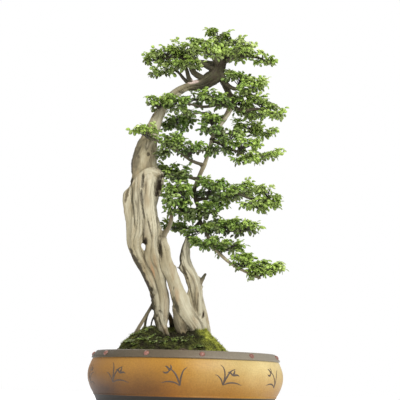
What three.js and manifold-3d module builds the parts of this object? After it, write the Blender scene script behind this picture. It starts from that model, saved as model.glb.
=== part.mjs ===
// An old Hupeh ash bonsai in a round drum pot: millimetres, +Z up, the origin at the centre of the underside.
// The tree's best side faces -Y. Its weathered trunk stands on several legs in a mossy mound and arches over,
// and one long bough falls down its right side. Sprays of small compound leaves grow in layers.
import * as THREE from 'three';
import { mergeVertices } from 'three/addons/utils/BufferGeometryUtils.js';
import Module from 'manifold-3d';

const wasm = await Module();
wasm.setup();
const { Manifold } = wasm;

// Clearances between pieces that touch on the real object
const SEAT_GAP = 0.35;
const LEAF_GAP = 0.6;

// Pot
const POT_HEIGHT = 146;
const POT_SIDES = 32;
const RIM_INNER = 232;
const FLOOR_TOP = 18;
const FOOT_RECESS = 6;
const POT_PROFILE = [
  [0, FOOT_RECESS], [216, FOOT_RECESS], [222, 0], [237, 0], [251, 27], [264, 56], [269, 82], [265, 106],
  [258, 124], [260, 127], [246, POT_HEIGHT], [RIM_INNER, POT_HEIGHT], [240, 84], [226, 26], [216, FLOOR_TOP],
  [0, FLOOR_TOP],
];
const BAND_MIDDLE = { radius: 253.5, z: 136, slope: 0.63 };
const STUD = { count: 11, radius: 7.5, height: 5, sides: 6, firstAngle: -80.2 };
const DRAIN = { count: 3, radius: 11, circle: 95, sides: 8 };
const NET = { side: 34, bar: 4, thickness: 1, lift: 0.3 };

// Soil and moss
const SOIL_SIDES = 24;
const MOSS_SIDES = 16;
const SOIL_EDGE = 138;
const SOIL_FLOOR = FLOOR_TOP + 0.3;
const WALL_GAP = 0.5;
const MOUND = { x: -38, y: 0, halfWidth: 165, halfDepth: 140, height: 68 };
const MOSS_THICKNESS = 9;
const MOSS_DEPTH = 6;
// Rises and dips of the ground: x, y, radius and height
const LUMPS = [
  [-12, -48, 42, -15], [-64, -62, 48, -26], [-98, -20, 30, 6], [52, -18, 26, 9], [20, -78, 26, -5],
  [-120, 40, 40, 4], [30, 60, 40, 5], [-168, -40, 30, -11], [98, -10, 40, -12],
];

// Compound leaf: a stalk, two pairs of leaflets and an end leaflet that start at these shares of its length
const LEAF = { length: 44, halfWidth: 13, ribHalfWidth: 0.9, ribThickness: 1.5, arch: 0.16, fold: 0.22 };
const LEAFLET_STARTS = [0.27, 0.51, 0.75];
const LEAFLET_SLANT = 0.24;
const SMALLEST_LEAF = 0.92;
const LEAF_SPREAD = 0.16;
const STEM_RADIUS = 1.9;
const BACK_OF_TREE = 20;

const materials = {
  pot: new THREE.MeshStandardMaterial({ color: 0xb98a45, roughness: 0.62, metalness: 0 }),
  net: new THREE.MeshStandardMaterial({ color: 0x202420, roughness: 0.7, metalness: 0 }),
  soil: new THREE.MeshStandardMaterial({ color: 0x4a382a, roughness: 0.98, metalness: 0 }),
  moss: new THREE.MeshStandardMaterial({ color: 0x5d7428, roughness: 0.97, metalness: 0 }),
  wood: new THREE.MeshStandardMaterial({ color: 0xb7aa92, roughness: 0.85, metalness: 0 }),
  foliage: new THREE.MeshStandardMaterial({ color: 0x5d8a2c, roughness: 0.55, metalness: 0 }),
};

// The trunk's flowing strands, from the shoulder down to the roots. Each knot is [x, y, z, radius].
const TRUNK = {
  sides: 7,
  limbs: {
    left_edge: [[-142, 0, 642, 12], [-148, -2, 613, 11.5], [-177, -4, 586, 17.5], [-172, -6, 543, 18.5],
      [-165, -6, 505, 18.5], [-162, -4, 464, 18.5], [-153, -2, 429, 17.5], [-134, 0, 398, 17.5],
      [-114, 0, 367, 16.5], [-103, 2, 340, 15.5], [-90, 2, 310, 14], [-85, 2, 280, 13], [-78, 2, 249, 12],
      [-74, 2, 228, 8]],
    centre_left: [[-138, -14, 640, 14], [-145, -21, 608, 18], [-143, -24, 566, 20.5], [-139, -22, 522, 20],
      [-142, -19, 484, 18], [-147, -15, 449, 15], [-138, -12, 414, 17], [-116, -10, 379, 16.5],
      [-102, -10, 349, 15.5], [-88, -9, 316, 14], [-80, -8, 286, 14], [-76, -8, 255, 12],
      [-72, -6, 230, 8]],
    centre_right: [[-117, -14, 645, 15], [-119, -25, 612, 19.5], [-119, -28, 570, 21.5],
      [-115, -28, 526, 21.5], [-109, -26, 485, 20], [-107, -21, 446, 15.5], [-102, -16, 406, 18.5],
      [-88, -12, 369, 16.5], [-80, -10, 334, 15.5], [-71, -8, 300, 15], [-68, -8, 265, 14],
      [-65, -6, 235, 9]],
    right_edge: [[-96, 0, 648, 17.5], [-102, 8, 610, 13.5], [-113, 0, 574, 15.5], [-109, -4, 536, 16.5],
      [-99, -6, 500, 17.5], [-98, -4, 458, 15.5], [-97, 0, 422, 14.5], [-88, 2, 389, 14.5],
      [-82, 4, 357, 14.5], [-74, 4, 322, 13], [-64, 4, 288, 13], [-63, 4, 246, 11]],
    hood: [[-160, -2, 590, 12], [-154, -9, 616, 14.5], [-140, -15, 638, 16], [-119, -17, 646, 17],
      [-101, -11, 641, 16.5], [-88, 0, 622, 12], [-88, 6, 592, 8]],
    core: [[-130, -12, 640, 17], [-133, -16, 560, 20], [-127, -16, 500, 20], [-124, -13, 458, 11]],
    back_left: [[-144, 16, 652, 14.5], [-156, 20, 599, 19.5], [-147, 24, 510, 19.5], [-154, 16, 451, 14.5],
      [-122, 16, 390, 16.5], [-96, 14, 330, 14], [-76, 8, 238, 8]],
    back_right: [[-113, 22, 652, 15.5], [-121, 27, 575, 19.5], [-110, 26, 505, 19.5], [-102, 20, 435, 16.5],
      [-85, 15, 355, 14.5], [-71, 12, 290, 12], [-66, 8, 240, 8]],
    foot: [[-75, 2, 290, 17], [-72, 1, 250, 18], [-68, -6, 222, 16], [-63, -16, 200, 12],
      [-58, -26, 182, 8], [-55, -32, 166, 5]],
    upper: [[-123, 8, 568, 27], [-135, 8, 631, 36.5], [-138, 6, 678, 38.5], [-130, 2, 721, 33.5],
      [-120, 0, 753, 26], [-109, 0, 785, 22], [-99, 2, 817, 18.5], [-85, 4, 850, 15.5], [-67, 4, 877, 13.5],
      [-41, 2, 899, 12.5], [-10, 0, 913, 12.5], [24, 0, 920, 18], [52, 0, 938, 24], [68, 0, 961, 21],
      [77, 0, 985, 16.5], [76, 0, 1011, 13], [68, 0, 1037, 6.5], [62, 0, 1053, 4]],
  },
};

// The two other legs, the dead spurs on them, and the roots that reach down to the mound
const LEGS = {
  sides: 6,
  limbs: {
    middle_leg: [[-81, -6, 480, 9], [-66, -10, 432, 16], [-60, -12, 398, 18], [-50, -14, 369, 19],
      [-38, -16, 338, 20], [-26, -18, 305, 22.5], [-15, -18, 271, 22.5], [4, -16, 241, 22.5],
      [24, -12, 213, 20], [38, -8, 176, 12]],
    right_leg: [[44, 4, 165, 14], [33, 4, 222, 18.5], [25, 4, 261, 23], [20, 2, 296, 23.5],
      [19, 0, 328, 20], [9, -2, 359, 20.5], [-5, -2, 387, 19.5], [-11, 0, 413, 18], [-9, 3, 439, 15],
      [-5, 6, 458, 12.5], [-3, 8, 473, 9]],
    root_knob: [[-31, -16, 264, 10], [-26, -22, 242, 15], [-20, -26, 220, 17], [-13, -26, 203, 15],
      [-8, -22, 186, 10]],
  },
};
const SPURS = {
  sides: 4,
  limbs: {
    dead_spur: [[-78, -10, 455, 8], [-68, -12, 478, 8.5], [-58, -14, 495, 8], [-52, -14, 518, 7],
      [-54, -12, 544, 5], [-61, -8, 564, 2.5]],
    leg_stub: [[24, 0, 325, 9], [40, -2, 351, 7.5], [48, -2, 365, 5.5]],
    leg_thorn: [[-5, -2, 375, 4], [-23, -4, 380, 3], [-32, -4, 383, 2]],
    right_root: [[34, 14, 318, 6], [41, 16, 288, 6.5], [52, 14, 253, 6.5], [60, 10, 211, 7],
      [66, 8, 172, 5]],
    left_root: [[-86, 4, 296, 7], [-106, 0, 261, 6], [-128, -8, 221, 6.5], [-149, -16, 182, 7],
      [-163, -20, 158, 4.5]],
    left_root_back: [[-88, 14, 290, 6], [-110, 24, 255, 4.5], [-118, 30, 221, 4.5], [-118, 34, 176, 4]],
    left_root_thin: [[-82, 18, 261, 5], [-98, 28, 235, 3.5], [-101, 34, 209, 3.5], [-100, 36, 176, 3.5]],
    front_root: [[-77, -14, 261, 6], [-67, -24, 227, 5.5], [-54, -34, 199, 5.5], [-46, -42, 172, 4.5]],
    back_root: [[-64, 12, 268, 7], [-51, 18, 252, 7.5], [-44, 26, 236, 8], [-40, 34, 208, 8],
      [-36, 44, 176, 6]],
    right_root_back: [[36, 14, 249, 9], [44, 34, 221, 8], [56, 52, 191, 7], [62, 62, 162, 5]],
  },
};

// The bough that falls down the right side, and the boughs that carry the layers of foliage
const BOUGHS = {
  sides: 4,
  limbs: {
    fall: [[74, 4, 956, 12.5], [87, 12, 932, 12], [100, 14, 904, 10], [110, 8, 877, 9], [104, 4, 842, 9],
      [87, 0, 812, 8.5], [70, 0, 782, 7.5], [59, 0, 756, 7], [51, -2, 726, 6.5], [40, -4, 688, 6.5],
      [28, -4, 657, 6.5], [18, -2, 631, 6], [10, 0, 604, 6], [16, 0, 576, 6], [25, 0, 549, 5.5],
      [29, -4, 517, 5.5], [46, -10, 486, 5.5], [62, -18, 452, 5.5], [90, -36, 417, 5], [126, -60, 386, 4.5],
      [170, -84, 361, 4], [196, -98, 349, 3.5]],
    crown_left: [[60, -2, 962, 10], [30, -10, 975, 8], [-6, -14, 989, 6], [-53, -12, 995, 5],
      [-92, -6, 990, 3.5], [-114, -4, 987, 3]],
    crown_right: [[77, 0, 982, 9.5], [113, 8, 1004, 6.5], [149, 14, 1012, 5.5], [178, 12, 1009, 4],
      [199, 8, 1002, 3]],
    crown_front: [[68, -2, 975, 8.5], [56, -40, 984, 5.5], [44, -75, 984, 4], [38, -95, 983, 3]],
    crown_back: [[77, 2, 986, 8.5], [91, 45, 1013, 5.5], [103, 82, 1030, 4], [109, 102, 1037, 3]],
    crown_back_left: [[64, 2, 982, 7.5], [16, 45, 1003, 5], [-32, 70, 1009, 3.5], [-62, 80, 1008, 3]],
    left_low_front: [[38, -2, 930, 10], [18, -8, 939, 9.5], [0, -16, 949, 8.5], [-12, -26, 966, 6]],
    left_low_mid: [[-2, -2, 919, 8], [-14, -5, 936, 7], [-20, -8, 956, 6], [-27, -10, 976, 4],
      [-34, -12, 992, 3]],
    left_low_back: [[-8, 2, 916, 8.5], [-28, 12, 936, 5.5], [-44, 20, 957, 4.5], [-62, 26, 968, 3.5],
      [-80, 30, 966, 3]],
    right_upper: [[75, -2, 953, 9.5], [94, -14, 918, 7.5], [120, -26, 899, 6], [147, -36, 909, 4],
      [179, -44, 914, 3]],
    mid_right: [[107, 4, 857, 7.5], [145, -12, 841, 6], [187, -26, 842, 4.5], [228, -36, 829, 3]],
    mid_left: [[108, 8, 877, 7.5], [66, -16, 853, 5], [29, -34, 842, 4.5], [-8, -44, 846, 3.5],
      [-43, -48, 851, 3]],
    mid_back: [[108, 10, 883, 7.5], [84, 45, 889, 4.5], [49, 80, 895, 3.5], [20, 98, 897, 3]],
    mid_back_right: [[108, 8, 868, 6.5], [137, 40, 857, 4.5], [166, 68, 850, 3.5], [188, 84, 845, 2.5]],
    centre_left: [[87, 2, 814, 7.5], [56, 22, 833, 5], [30, 36, 843, 4], [-3, 46, 841, 3]],
    cross: [[36, -4, 677, 6], [-4, -24, 688, 4.5], [-38, -42, 709, 4], [-81, -56, 728, 3.5],
      [-126, -60, 740, 3]],
    right_mid: [[57, 0, 754, 7], [83, -10, 740, 5], [126, -20, 718, 4.5], [164, -24, 701, 3.5],
      [203, -24, 705, 3]],
    right_back: [[64, 2, 767, 6.5], [99, 36, 781, 4.5], [145, 62, 794, 3.5], [186, 78, 800, 3]],
    left_mid: [[22, -2, 637, 5.5], [-8, 12, 645, 4.5], [-41, 24, 659, 3.5], [-68, 30, 668, 3]],
    left_mid_front: [[10, 0, 603, 5.5], [-13, -18, 596, 4], [-35, -34, 598, 3]],
    right_low: [[15, 0, 578, 6], [50, -14, 581, 5], [86, -26, 589, 4.5], [129, -36, 593, 4],
      [170, -44, 577, 3.5], [206, -48, 580, 3]],
    right_low_back: [[14, 2, 589, 5.5], [50, 34, 601, 4], [97, 62, 609, 3.5], [138, 80, 611, 3]],
    low_left: [[25, 0, 547, 5.5], [-3, -16, 548, 4], [-28, -28, 548, 3]],
    low_left_back: [[30, -2, 513, 5.5], [6, 18, 499, 4], [-34, 34, 500, 3]],
    low_right: [[42, -8, 492, 5.5], [83, -24, 487, 4], [122, -40, 484, 3.5], [155, -50, 483, 3]],
    low_back: [[34, -4, 505, 5], [64, 34, 517, 4], [87, 60, 525, 3]],
  },
};

// Leafy sprays: each stem's points [x, y, z], from the middle of the bough that it grows on to its tip
const SPRAYS = {
  crown_apex: [[65, 0, 1048], [66, -2, 1065], [65, -2, 1077]],
  crown_apex_right: [[74, 2, 1024], [94, 6, 1046], [112, 8, 1053]],
  crown_apex_left: [[72, -2, 1026], [40, -8, 1036], [13, -10, 1041]],
  crown_left_inner: [[-10, -14, 990], [-30, -22, 1004], [-51, -26, 1013]],
  crown_left_back: [[-57, 79, 1008], [-74, 86, 1007], [-88, 92, 1005]],
  crown_left_tip: [[-110, -3, 987], [-114, -5, 986], [-119, -7, 987]],
  crown_left_mid: [[-68, -10, 994], [-82, -24, 999], [-95, -31, 1000]],
  crown_right_inner: [[138, 12, 1011], [144, 4, 1020], [148, 0, 1027]],
  crown_right_tip: [[195, 9, 1003], [200, 7, 1001], [206, 6, 997]],
  crown_front: [[40, -89, 983], [33, -105, 984], [25, -115, 983]],
  crown_back: [[108, 98, 1036], [122, 115, 1043], [131, 125, 1046]],
  crown_front_right: [[78, 0, 987], [109, -40, 1004], [130, -66, 1011]],
  left_low_front: [[-8, -24, 966], [-18, -38, 962], [-28, -46, 956]],
  left_low_back: [[-76, 29, 967], [-87, 32, 961], [-94, 34, 957]],
  right_upper_tip: [[175, -43, 913], [173, -48, 909], [172, -52, 904]],
  right_upper_inner: [[132, -30, 903], [133, -20, 932], [127, -14, 952]],
  mid_right_tip: [[224, -36, 830], [229, -38, 824], [232, -41, 816]],
  mid_right_outer: [[196, -29, 842], [198, -20, 862], [187, -16, 877]],
  mid_right_inner: [[141, -10, 842], [136, 0, 865], [130, 10, 883]],
  mid_right_back: [[184, 82, 846], [192, 86, 856], [196, 88, 864]],
  mid_centre: [[62, -18, 852], [54, -30, 869], [44, -40, 881]],
  mid_left: [[-39, -47, 851], [-51, -51, 855], [-57, -54, 857]],
  mid_back: [[24, 95, 897], [7, 105, 903], [-5, 112, 905]],
  trunk_twig: [[-94, 0, 833], [-98, -18, 847], [-102, -24, 857]],
  centre_left: [[1, 45, 841], [-32, 44, 826], [-48, 42, 820]],
  centre: [[68, 0, 780], [58, -24, 776], [58, -34, 782]],
  cross_left: [[-121, -60, 739], [-128, -61, 751], [-134, -62, 762]],
  cross_mid: [[-61, -50, 718], [-54, -44, 736], [-50, -40, 750]],
  cross_right: [[-9, -27, 690], [-4, -34, 710], [4, -38, 729]],
  right_mid_tip: [[199, -24, 705], [215, -24, 708], [228, -24, 712]],
  right_mid_outer: [[130, -21, 716], [148, -30, 731], [165, -36, 739]],
  right_mid_inner: [[98, -14, 733], [108, -4, 760], [118, 4, 781]],
  right_mid_under: [[164, -24, 701], [158, -32, 692], [150, -38, 686]],
  right_back: [[182, 76, 799], [204, 82, 797], [218, 86, 795]],
  left_mid_tip: [[-64, 29, 667], [-74, 34, 669], [-80, 38, 671]],
  left_mid_inner: [[-20, 17, 651], [-36, 24, 659], [-46, 30, 663]],
  left_mid_front: [[-31, -31, 598], [-37, -38, 602], [-42, -42, 603]],
  right_low_inner: [[47, -13, 581], [52, -22, 603], [64, -28, 616]],
  right_low_mid: [[117, -34, 592], [129, -30, 608], [139, -28, 617]],
  right_low_tip: [[202, -47, 580], [216, -50, 572], [227, -50, 563]],
  right_low_under: [[173, -44, 577], [181, -50, 559], [189, -54, 546]],
  right_low_hanging: [[80, -24, 588], [68, -30, 566], [58, -34, 546]],
  right_low_back: [[134, 78, 611], [153, 85, 615], [165, 90, 617]],
  low_left_front: [[-24, -26, 548], [-33, -30, 552], [-40, -34, 557]],
  low_left_back: [[-30, 33, 500], [-43, 36, 502], [-53, 38, 503]],
  low_right_inner: [[81, -23, 487], [92, -30, 494], [104, -34, 500]],
  low_right_tip: [[151, -49, 483], [160, -52, 489], [167, -54, 493]],
  low_inner: [[44, -9, 490], [30, -16, 485], [19, -20, 478]],
  low_back: [[83, 56, 524], [96, 64, 521], [106, 70, 518]],
  low_centre: [[60, -17, 455], [48, -26, 452], [38, -30, 450]],
  low_bough_inner: [[85, -32, 423], [106, -36, 435], [119, -40, 443]],
  low_bough_outer: [[140, -68, 376], [147, -70, 395], [148, -74, 410]],
  low_bough_tip: [[192, -96, 351], [213, -100, 368], [236, -103, 386]],
};

// Second stems of some sprays, each from the first one's foot, middle or tip
const SIDE_STEMS = {
  mid_right_inner: [[136, 0, 865], [149, 4, 850], [160, 8, 839]],
  mid_left: [[-51, -51, 855], [-42, -50, 838], [-28, -46, 825]],
  centre_left: [[-48, 42, 820], [-52, 40, 806], [-54, 38, 793]],
  right_upper_tip: [[173, -48, 909], [168, -50, 898], [158, -46, 888]],
  centre: [[58, -24, 776], [56, -20, 802], [54, -16, 826]],
  cross_mid: [[-54, -44, 736], [-66, -38, 716], [-68, -38, 697]],
  left_mid_inner: [[-36, 24, 659], [-40, 12, 648], [-38, -3, 638]],
  left_mid_front: [[-37, -38, 602], [-36, -36, 588], [-24, -30, 572]],
  right_low_inner: [[52, -22, 603], [51, -24, 617], [49, -22, 629]],
  right_low_tip: [[216, -50, 572], [214, -42, 590], [207, -38, 606]],
  low_left_front: [[-33, -30, 552], [-26, -30, 538], [-12, -26, 527]],
  low_right_inner: [[104, -34, 500], [120, -32, 500], [137, -32, 502]],
  low_centre: [[48, -26, 452], [60, -38, 445], [75, -44, 438]],
  right_low_hanging: [[58, -34, 546], [50, -34, 537], [43, -34, 530]],
  low_bough_outer: [[147, -70, 395], [165, -82, 385], [183, -92, 376]],
  crown_left_inner: [[-30, -22, 1004], [-21, -26, 1012], [-12, -26, 1019]],
  low_bough_tip: [[213, -100, 368], [205, -94, 364], [190, -88, 361]],
  mid_centre: [[54, -30, 869], [70, -36, 858], [84, -38, 846]],
  right_low_mid: [[117, -34, 592], [100, -38, 578], [83, -40, 568]],
  right_back: [[182, 76, 799], [167, 72, 812], [151, 68, 821]],
  right_mid_inner: [[98, -14, 733], [83, -18, 726], [70, -20, 720]],
};

// Solids

// A closed geometry as a solid, with its faces turned outwards.
function solidOf(geometry) {
  const bare = geometry.clone();
  bare.deleteAttribute('normal');
  bare.deleteAttribute('uv');
  const merged = mergeVertices(bare, 1e-4);
  const build = (triVerts) => new Manifold(new wasm.Mesh({
    numProp: 3,
    vertProperties: new Float32Array(merged.attributes.position.array),
    triVerts,
  }));
  const triVerts = new Uint32Array(merged.index.array);
  const made = build(triVerts);
  if (made.volume() > 0) return made;
  return build(new Uint32Array(triVerts).reverse());
}

// The largest body of a solid, without the scraps that a cut left loose.
const largestOf = (solid) => solid.decompose().sort((a, b) => b.volume() - a.volume())[0];

function meshOf(name, solid, material) {
  const { numProp, vertProperties, triVerts } = solid.getMesh();
  const geometry = new THREE.BufferGeometry();
  geometry.setAttribute('position', new THREE.BufferAttribute(new Float32Array(vertProperties), numProp));
  geometry.setIndex(new THREE.BufferAttribute(new Uint32Array(triVerts), 1));
  geometry.computeVertexNormals();
  const mesh = new THREE.Mesh(geometry, material);
  mesh.name = name;
  return mesh;
}

function geometryOf(positions, index) {
  const geometry = new THREE.BufferGeometry();
  geometry.setAttribute('position', new THREE.Float32BufferAttribute(positions, 3));
  geometry.setIndex(index);
  return geometry;
}

// A seeded draw from 0 to 1, the same in every run.
function drawFrom(seed) {
  let state = seed;
  return () => {
    state = (state * 1664525 + 1013904223) % 4294967296;
    return state / 4294967296;
  };
}

// Limbs

// A tapering tube through knots [x, y, z, radius], with its ends closed, and grown all round by extra.
function limbGeometry(knots, sides, extra = 0) {
  const points = knots.map(([x, y, z]) => new THREE.Vector3(x, y, z));
  const curve = new THREE.CatmullRomCurve3(points, false, 'catmullrom', 0.5);
  const last = knots.length - 1;
  const positions = [];
  const index = [];
  const side = new THREE.Vector3(0.1, -1, 0);
  points.forEach((centre, i) => {
    const tangent = curve.getTangent(i / last);
    const radius = knots[i][3] + extra;
    if (i === 0) centre.addScaledVector(tangent, -extra);
    if (i === last) centre.addScaledVector(tangent, extra);
    side.addScaledVector(tangent, -side.dot(tangent)).normalize();
    const up = new THREE.Vector3().crossVectors(tangent, side);
    for (let j = 0; j < sides; j++) {
      const angle = (j / sides) * 2 * Math.PI;
      const point = centre.clone()
        .addScaledVector(side, radius * Math.cos(angle))
        .addScaledVector(up, radius * Math.sin(angle));
      positions.push(point.x, point.y, point.z);
      if (i === last) continue;
      const a = i * sides + j;
      const b = i * sides + ((j + 1) % sides);
      index.push(a, b, a + sides, b, b + sides, a + sides);
    }
  });
  for (let j = 1; j < sides - 1; j++) {
    const end = last * sides;
    index.push(0, j + 1, j, end, end + j, end + j + 1);
  }
  return geometryOf(positions, index);
}

// Every limb of the tree in one solid, grown all round by extra.
function treeSolid(extra = 0) {
  const limbs = [TRUNK, LEGS, SPURS, BOUGHS].flatMap(({ sides, limbs }) =>
    Object.values(limbs).map((knots) => solidOf(limbGeometry(knots, sides, extra))));
  return Manifold.union(limbs);
}

// Leaves

// One compound leaf along +X: a thin arched blade with a raised rib, cut to the rib between its leaflets.
function leafGeometry({ length, halfWidth, ribHalfWidth, ribThickness, arch, fold }) {
  const positions = [];
  const index = [];
  const put = (share, y, z = 0) => {
    const drop = (arch * length * share + fold * Math.abs(y)) * share;
    positions.push(share * length, y, z - drop);
    return positions.length / 3 - 1;
  };
  const face = (...ring) => {
    for (let i = 1; i < ring.length - 1; i++) index.push(ring[0], ring[i], ring[i + 1]);
  };
  const [foot, first, second, third] = [0, ...LEAFLET_STARTS].map((share) => ({
    share,
    left: put(share, ribHalfWidth, -ribThickness / 2),
    right: put(share, -ribHalfWidth, -ribThickness / 2),
    top: put(share, 0, ribThickness / 2),
  }));
  face(foot.top, foot.left, foot.right);
  face(foot.top, foot.right, first.right, first.top);
  face(foot.left, foot.top, first.top, first.left);
  face(foot.right, foot.left, first.left, first.right);
  for (const [near, far] of [[first, second], [second, third]]) {
    face(near.right, near.left, far.left, far.right);
    for (const [edge, side] of [['left', 1], ['right', -1]]) {
      const tip = put(near.share + LEAFLET_SLANT, side * halfWidth);
      const upper = [near.top, far.top, far[edge], tip, near[edge]];
      const lower = [near[edge], tip, far[edge]];
      face(...(side > 0 ? upper : upper.reverse()));
      face(...(side > 0 ? lower : lower.reverse()));
    }
  }
  const shoulder = (third.share + 1) / 2 - 0.03;
  const right = put(shoulder, -0.4 * halfWidth);
  const left = put(shoulder, 0.4 * halfWidth);
  const end = put(1, 0);
  face(third.top, third.right, right, end, left, third.left);
  face(third.left, left, end, right, third.right);
  return geometryOf(positions, index);
}

// A matrix that sets a leaf at a point, with its rib along a direction and its face turned up.
function leafMatrix(at, direction, roll, scale) {
  const rib = direction.clone().normalize();
  const left = new THREE.Vector3(0, 0, 1).cross(rib).normalize();
  const face = new THREE.Vector3().crossVectors(rib, left);
  return new THREE.Matrix4()
    .makeBasis(rib, left, face)
    .multiply(new THREE.Matrix4().makeRotationX(roll))
    .scale(new THREE.Vector3(scale, scale, scale))
    .setPosition(at);
}

// Where a stem's leaves start and the way they point: at its tip, to its left and to its right, and on the
// sprays that aren't at the back of the tree, up between them. A side stem has two.
function leafPlaces(stem, draw, onSide = false) {
  const [, middle, tip] = stem.map((point) => new THREE.Vector3(...point));
  const heading = tip.clone().sub(middle).setZ(0).normalize();
  const turned = (angle, rise) => heading.clone()
    .applyAxisAngle(new THREE.Vector3(0, 0, 1), angle)
    .setZ(rise);
  const along = (share) => middle.clone().lerp(tip, share);
  const places = [
    { at: along(0.93), way: turned(0, 0.1 + 0.3 * draw()) },
    { at: along(0.62), way: turned(1.05 + 0.3 * draw(), 0.15 + 0.3 * draw()) },
    { at: along(0.32), way: turned(-1.1 - 0.3 * draw(), 0.15 + 0.3 * draw()) },
  ];
  if (onSide) return places.slice(0, 2);
  if (tip.y < BACK_OF_TREE) {
    places.push({ at: along(0.02), way: turned(2.2 + 0.6 * draw(), 0.7 + 0.3 * draw()) });
  }
  return places;
}

// Turns and rises that are tried in this order until a leaf is clear of its neighbours
const LEAF_TRIES = [
  [0, 0], [0.4, 0], [-0.4, 0], [0, 0.4], [0.8, 0.2], [-0.8, 0.2], [1.3, 0.3], [-1.3, 0.3],
  [2, 0.5], [-2, 0.5], [3, 0.5],
];

const boxed = (solid, spray) => ({ solid, spray, box: solid.boundingBox() });
const boxesMeet = (a, b) => [0, 1, 2].every((k) => a.min[k] <= b.max[k] && b.min[k] <= a.max[k]);
const crosses = (solid, others) => others.some((other) =>
  boxesMeet(solid.boundingBox(), other.box) && !solid.intersect(other.solid).isEmpty());

// Every spray as a solid of its stem and leaves, each leaf bent clear of the wood and of the other sprays.
function spraySolids(wood) {
  const draw = drawFrom(20260);
  const leaf = solidOf(leafGeometry(LEAF));
  const leafRoom = solidOf(leafGeometry({
    ...LEAF,
    halfWidth: LEAF.halfWidth + 1,
    ribHalfWidth: LEAF.ribHalfWidth + LEAF_GAP,
    ribThickness: LEAF.ribThickness + 2 * LEAF_GAP,
  }));
  const stemSolid = (stem, extra = 0) => {
    const knots = stem.map((point, i) => [...point, STEM_RADIUS * (1 - 0.15 * i)]);
    return solidOf(limbGeometry(knots, 3, extra));
  };
  const stemsOf = (name) => (SIDE_STEMS[name] ? [SPRAYS[name], SIDE_STEMS[name]] : [SPRAYS[name]]);
  const names = Object.keys(SPRAYS);
  const stemRooms = names.flatMap((name) =>
    stemsOf(name).map((stem) => boxed(stemSolid(stem, LEAF_GAP), name)));
  const taken = [boxed(wood, 'wood'), ...stemRooms];
  const solids = {};
  for (const name of names) {
    const parts = stemsOf(name).map((stem) => stemSolid(stem));
    const places = stemsOf(name).flatMap((stem, i) => leafPlaces(stem, draw, i > 0));
    for (const { at, way } of places) {
      const roll = (draw() - 0.5) * 0.7;
      const scale = SMALLEST_LEAF + LEAF_SPREAD * draw();
      for (const [turn, rise] of LEAF_TRIES) {
        const direction = way.clone().applyAxisAngle(new THREE.Vector3(0, 0, 1), turn);
        direction.z += rise;
        const matrix = leafMatrix(at, direction, roll, scale).toArray();
        const room = leafRoom.transform(matrix);
        if (crosses(room, taken.filter(({ spray, own }) => spray !== name || own === 'leaf'))) continue;
        taken.push({ ...boxed(room, name), own: 'leaf' });
        parts.push(leaf.transform(matrix));
        break;
      }
    }
    solids[name] = largestOf(Manifold.union(parts).subtract(wood));
  }
  return solids;
}

// Pot

function latheSolid(profile, sides) {
  const geometry = new THREE.LatheGeometry(profile.map(([r, z]) => new THREE.Vector2(r, z)), sides);
  geometry.rotateX(Math.PI / 2);
  return solidOf(geometry);
}

// The angles round the pot of count things, the first at firstAngle degrees.
const anglesRound = (count, firstAngle) => Array.from({ length: count }, (_, i) =>
  THREE.MathUtils.degToRad(firstAngle + (360 / count) * i));

const drainPlaces = anglesRound(DRAIN.count, 90).map((angle) => [
  DRAIN.circle * Math.cos(angle),
  DRAIN.circle * Math.sin(angle),
]);

function potSolid() {
  let pot = latheSolid(POT_PROFILE, POT_SIDES);
  const { radius, height, sides } = STUD;
  const domeProfile = [[0, -4], [radius, -4], [0.8 * radius, 0.65 * height], [0, height]];
  const dome = new THREE.LatheGeometry(domeProfile.map(([r, z]) => new THREE.Vector2(r, z)), sides);
  dome.rotateZ(-Math.PI / 2);
  dome.rotateY(-BAND_MIDDLE.slope);
  dome.translate(BAND_MIDDLE.radius, 0, BAND_MIDDLE.z);
  for (const angle of anglesRound(STUD.count, STUD.firstAngle)) {
    pot = pot.add(solidOf(dome.clone().rotateZ(angle)));
  }
  for (const [x, y] of drainPlaces) {
    const hole = new THREE.CylinderGeometry(DRAIN.radius, DRAIN.radius, 3 * FLOOR_TOP, DRAIN.sides);
    hole.rotateX(Math.PI / 2);
    hole.translate(x, y, 0);
    pot = pot.subtract(solidOf(hole));
  }
  return pot;
}

function boxSolid(side, depth, x, y, z) {
  const geometry = new THREE.BoxGeometry(side, side, depth);
  geometry.translate(x, y, z);
  return solidOf(geometry);
}

// A square net with four windows, lying over a drain hole.
function netSolid([x, y]) {
  const z = FLOOR_TOP + NET.lift + NET.thickness / 2;
  const window = (NET.side - 3 * NET.bar) / 2;
  const offset = (window + NET.bar) / 2;
  let net = boxSolid(NET.side, NET.thickness, x, y, z);
  for (const sx of [-1, 1]) {
    for (const sy of [-1, 1]) {
      net = net.subtract(boxSolid(window, 3 * NET.thickness, x + sx * offset, y + sy * offset, z));
    }
  }
  return net;
}

// Soil and moss

// How far out on the mound a point lies: 0 at its top, 1 at its foot.
const moundShare = (x, y) => Math.hypot((x - MOUND.x) / MOUND.halfWidth, (y - MOUND.y) / MOUND.halfDepth);
const groundHeight = (x, y) => {
  const share = Math.min(moundShare(x, y), 1);
  const lumps = LUMPS.reduce((sum, [lumpX, lumpY, radius, rise]) =>
    sum + rise * Math.exp(-((x - lumpX) ** 2 + (y - lumpY) ** 2) / radius ** 2), 0);
  return SOIL_EDGE + MOUND.height * (1 - share ** 3) + lumps * (1 - share ** 6);
};
const moundPoint = (share, angle) => [
  MOUND.x + MOUND.halfWidth * share * Math.cos(angle),
  MOUND.y + MOUND.halfDepth * share * Math.sin(angle),
];

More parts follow.
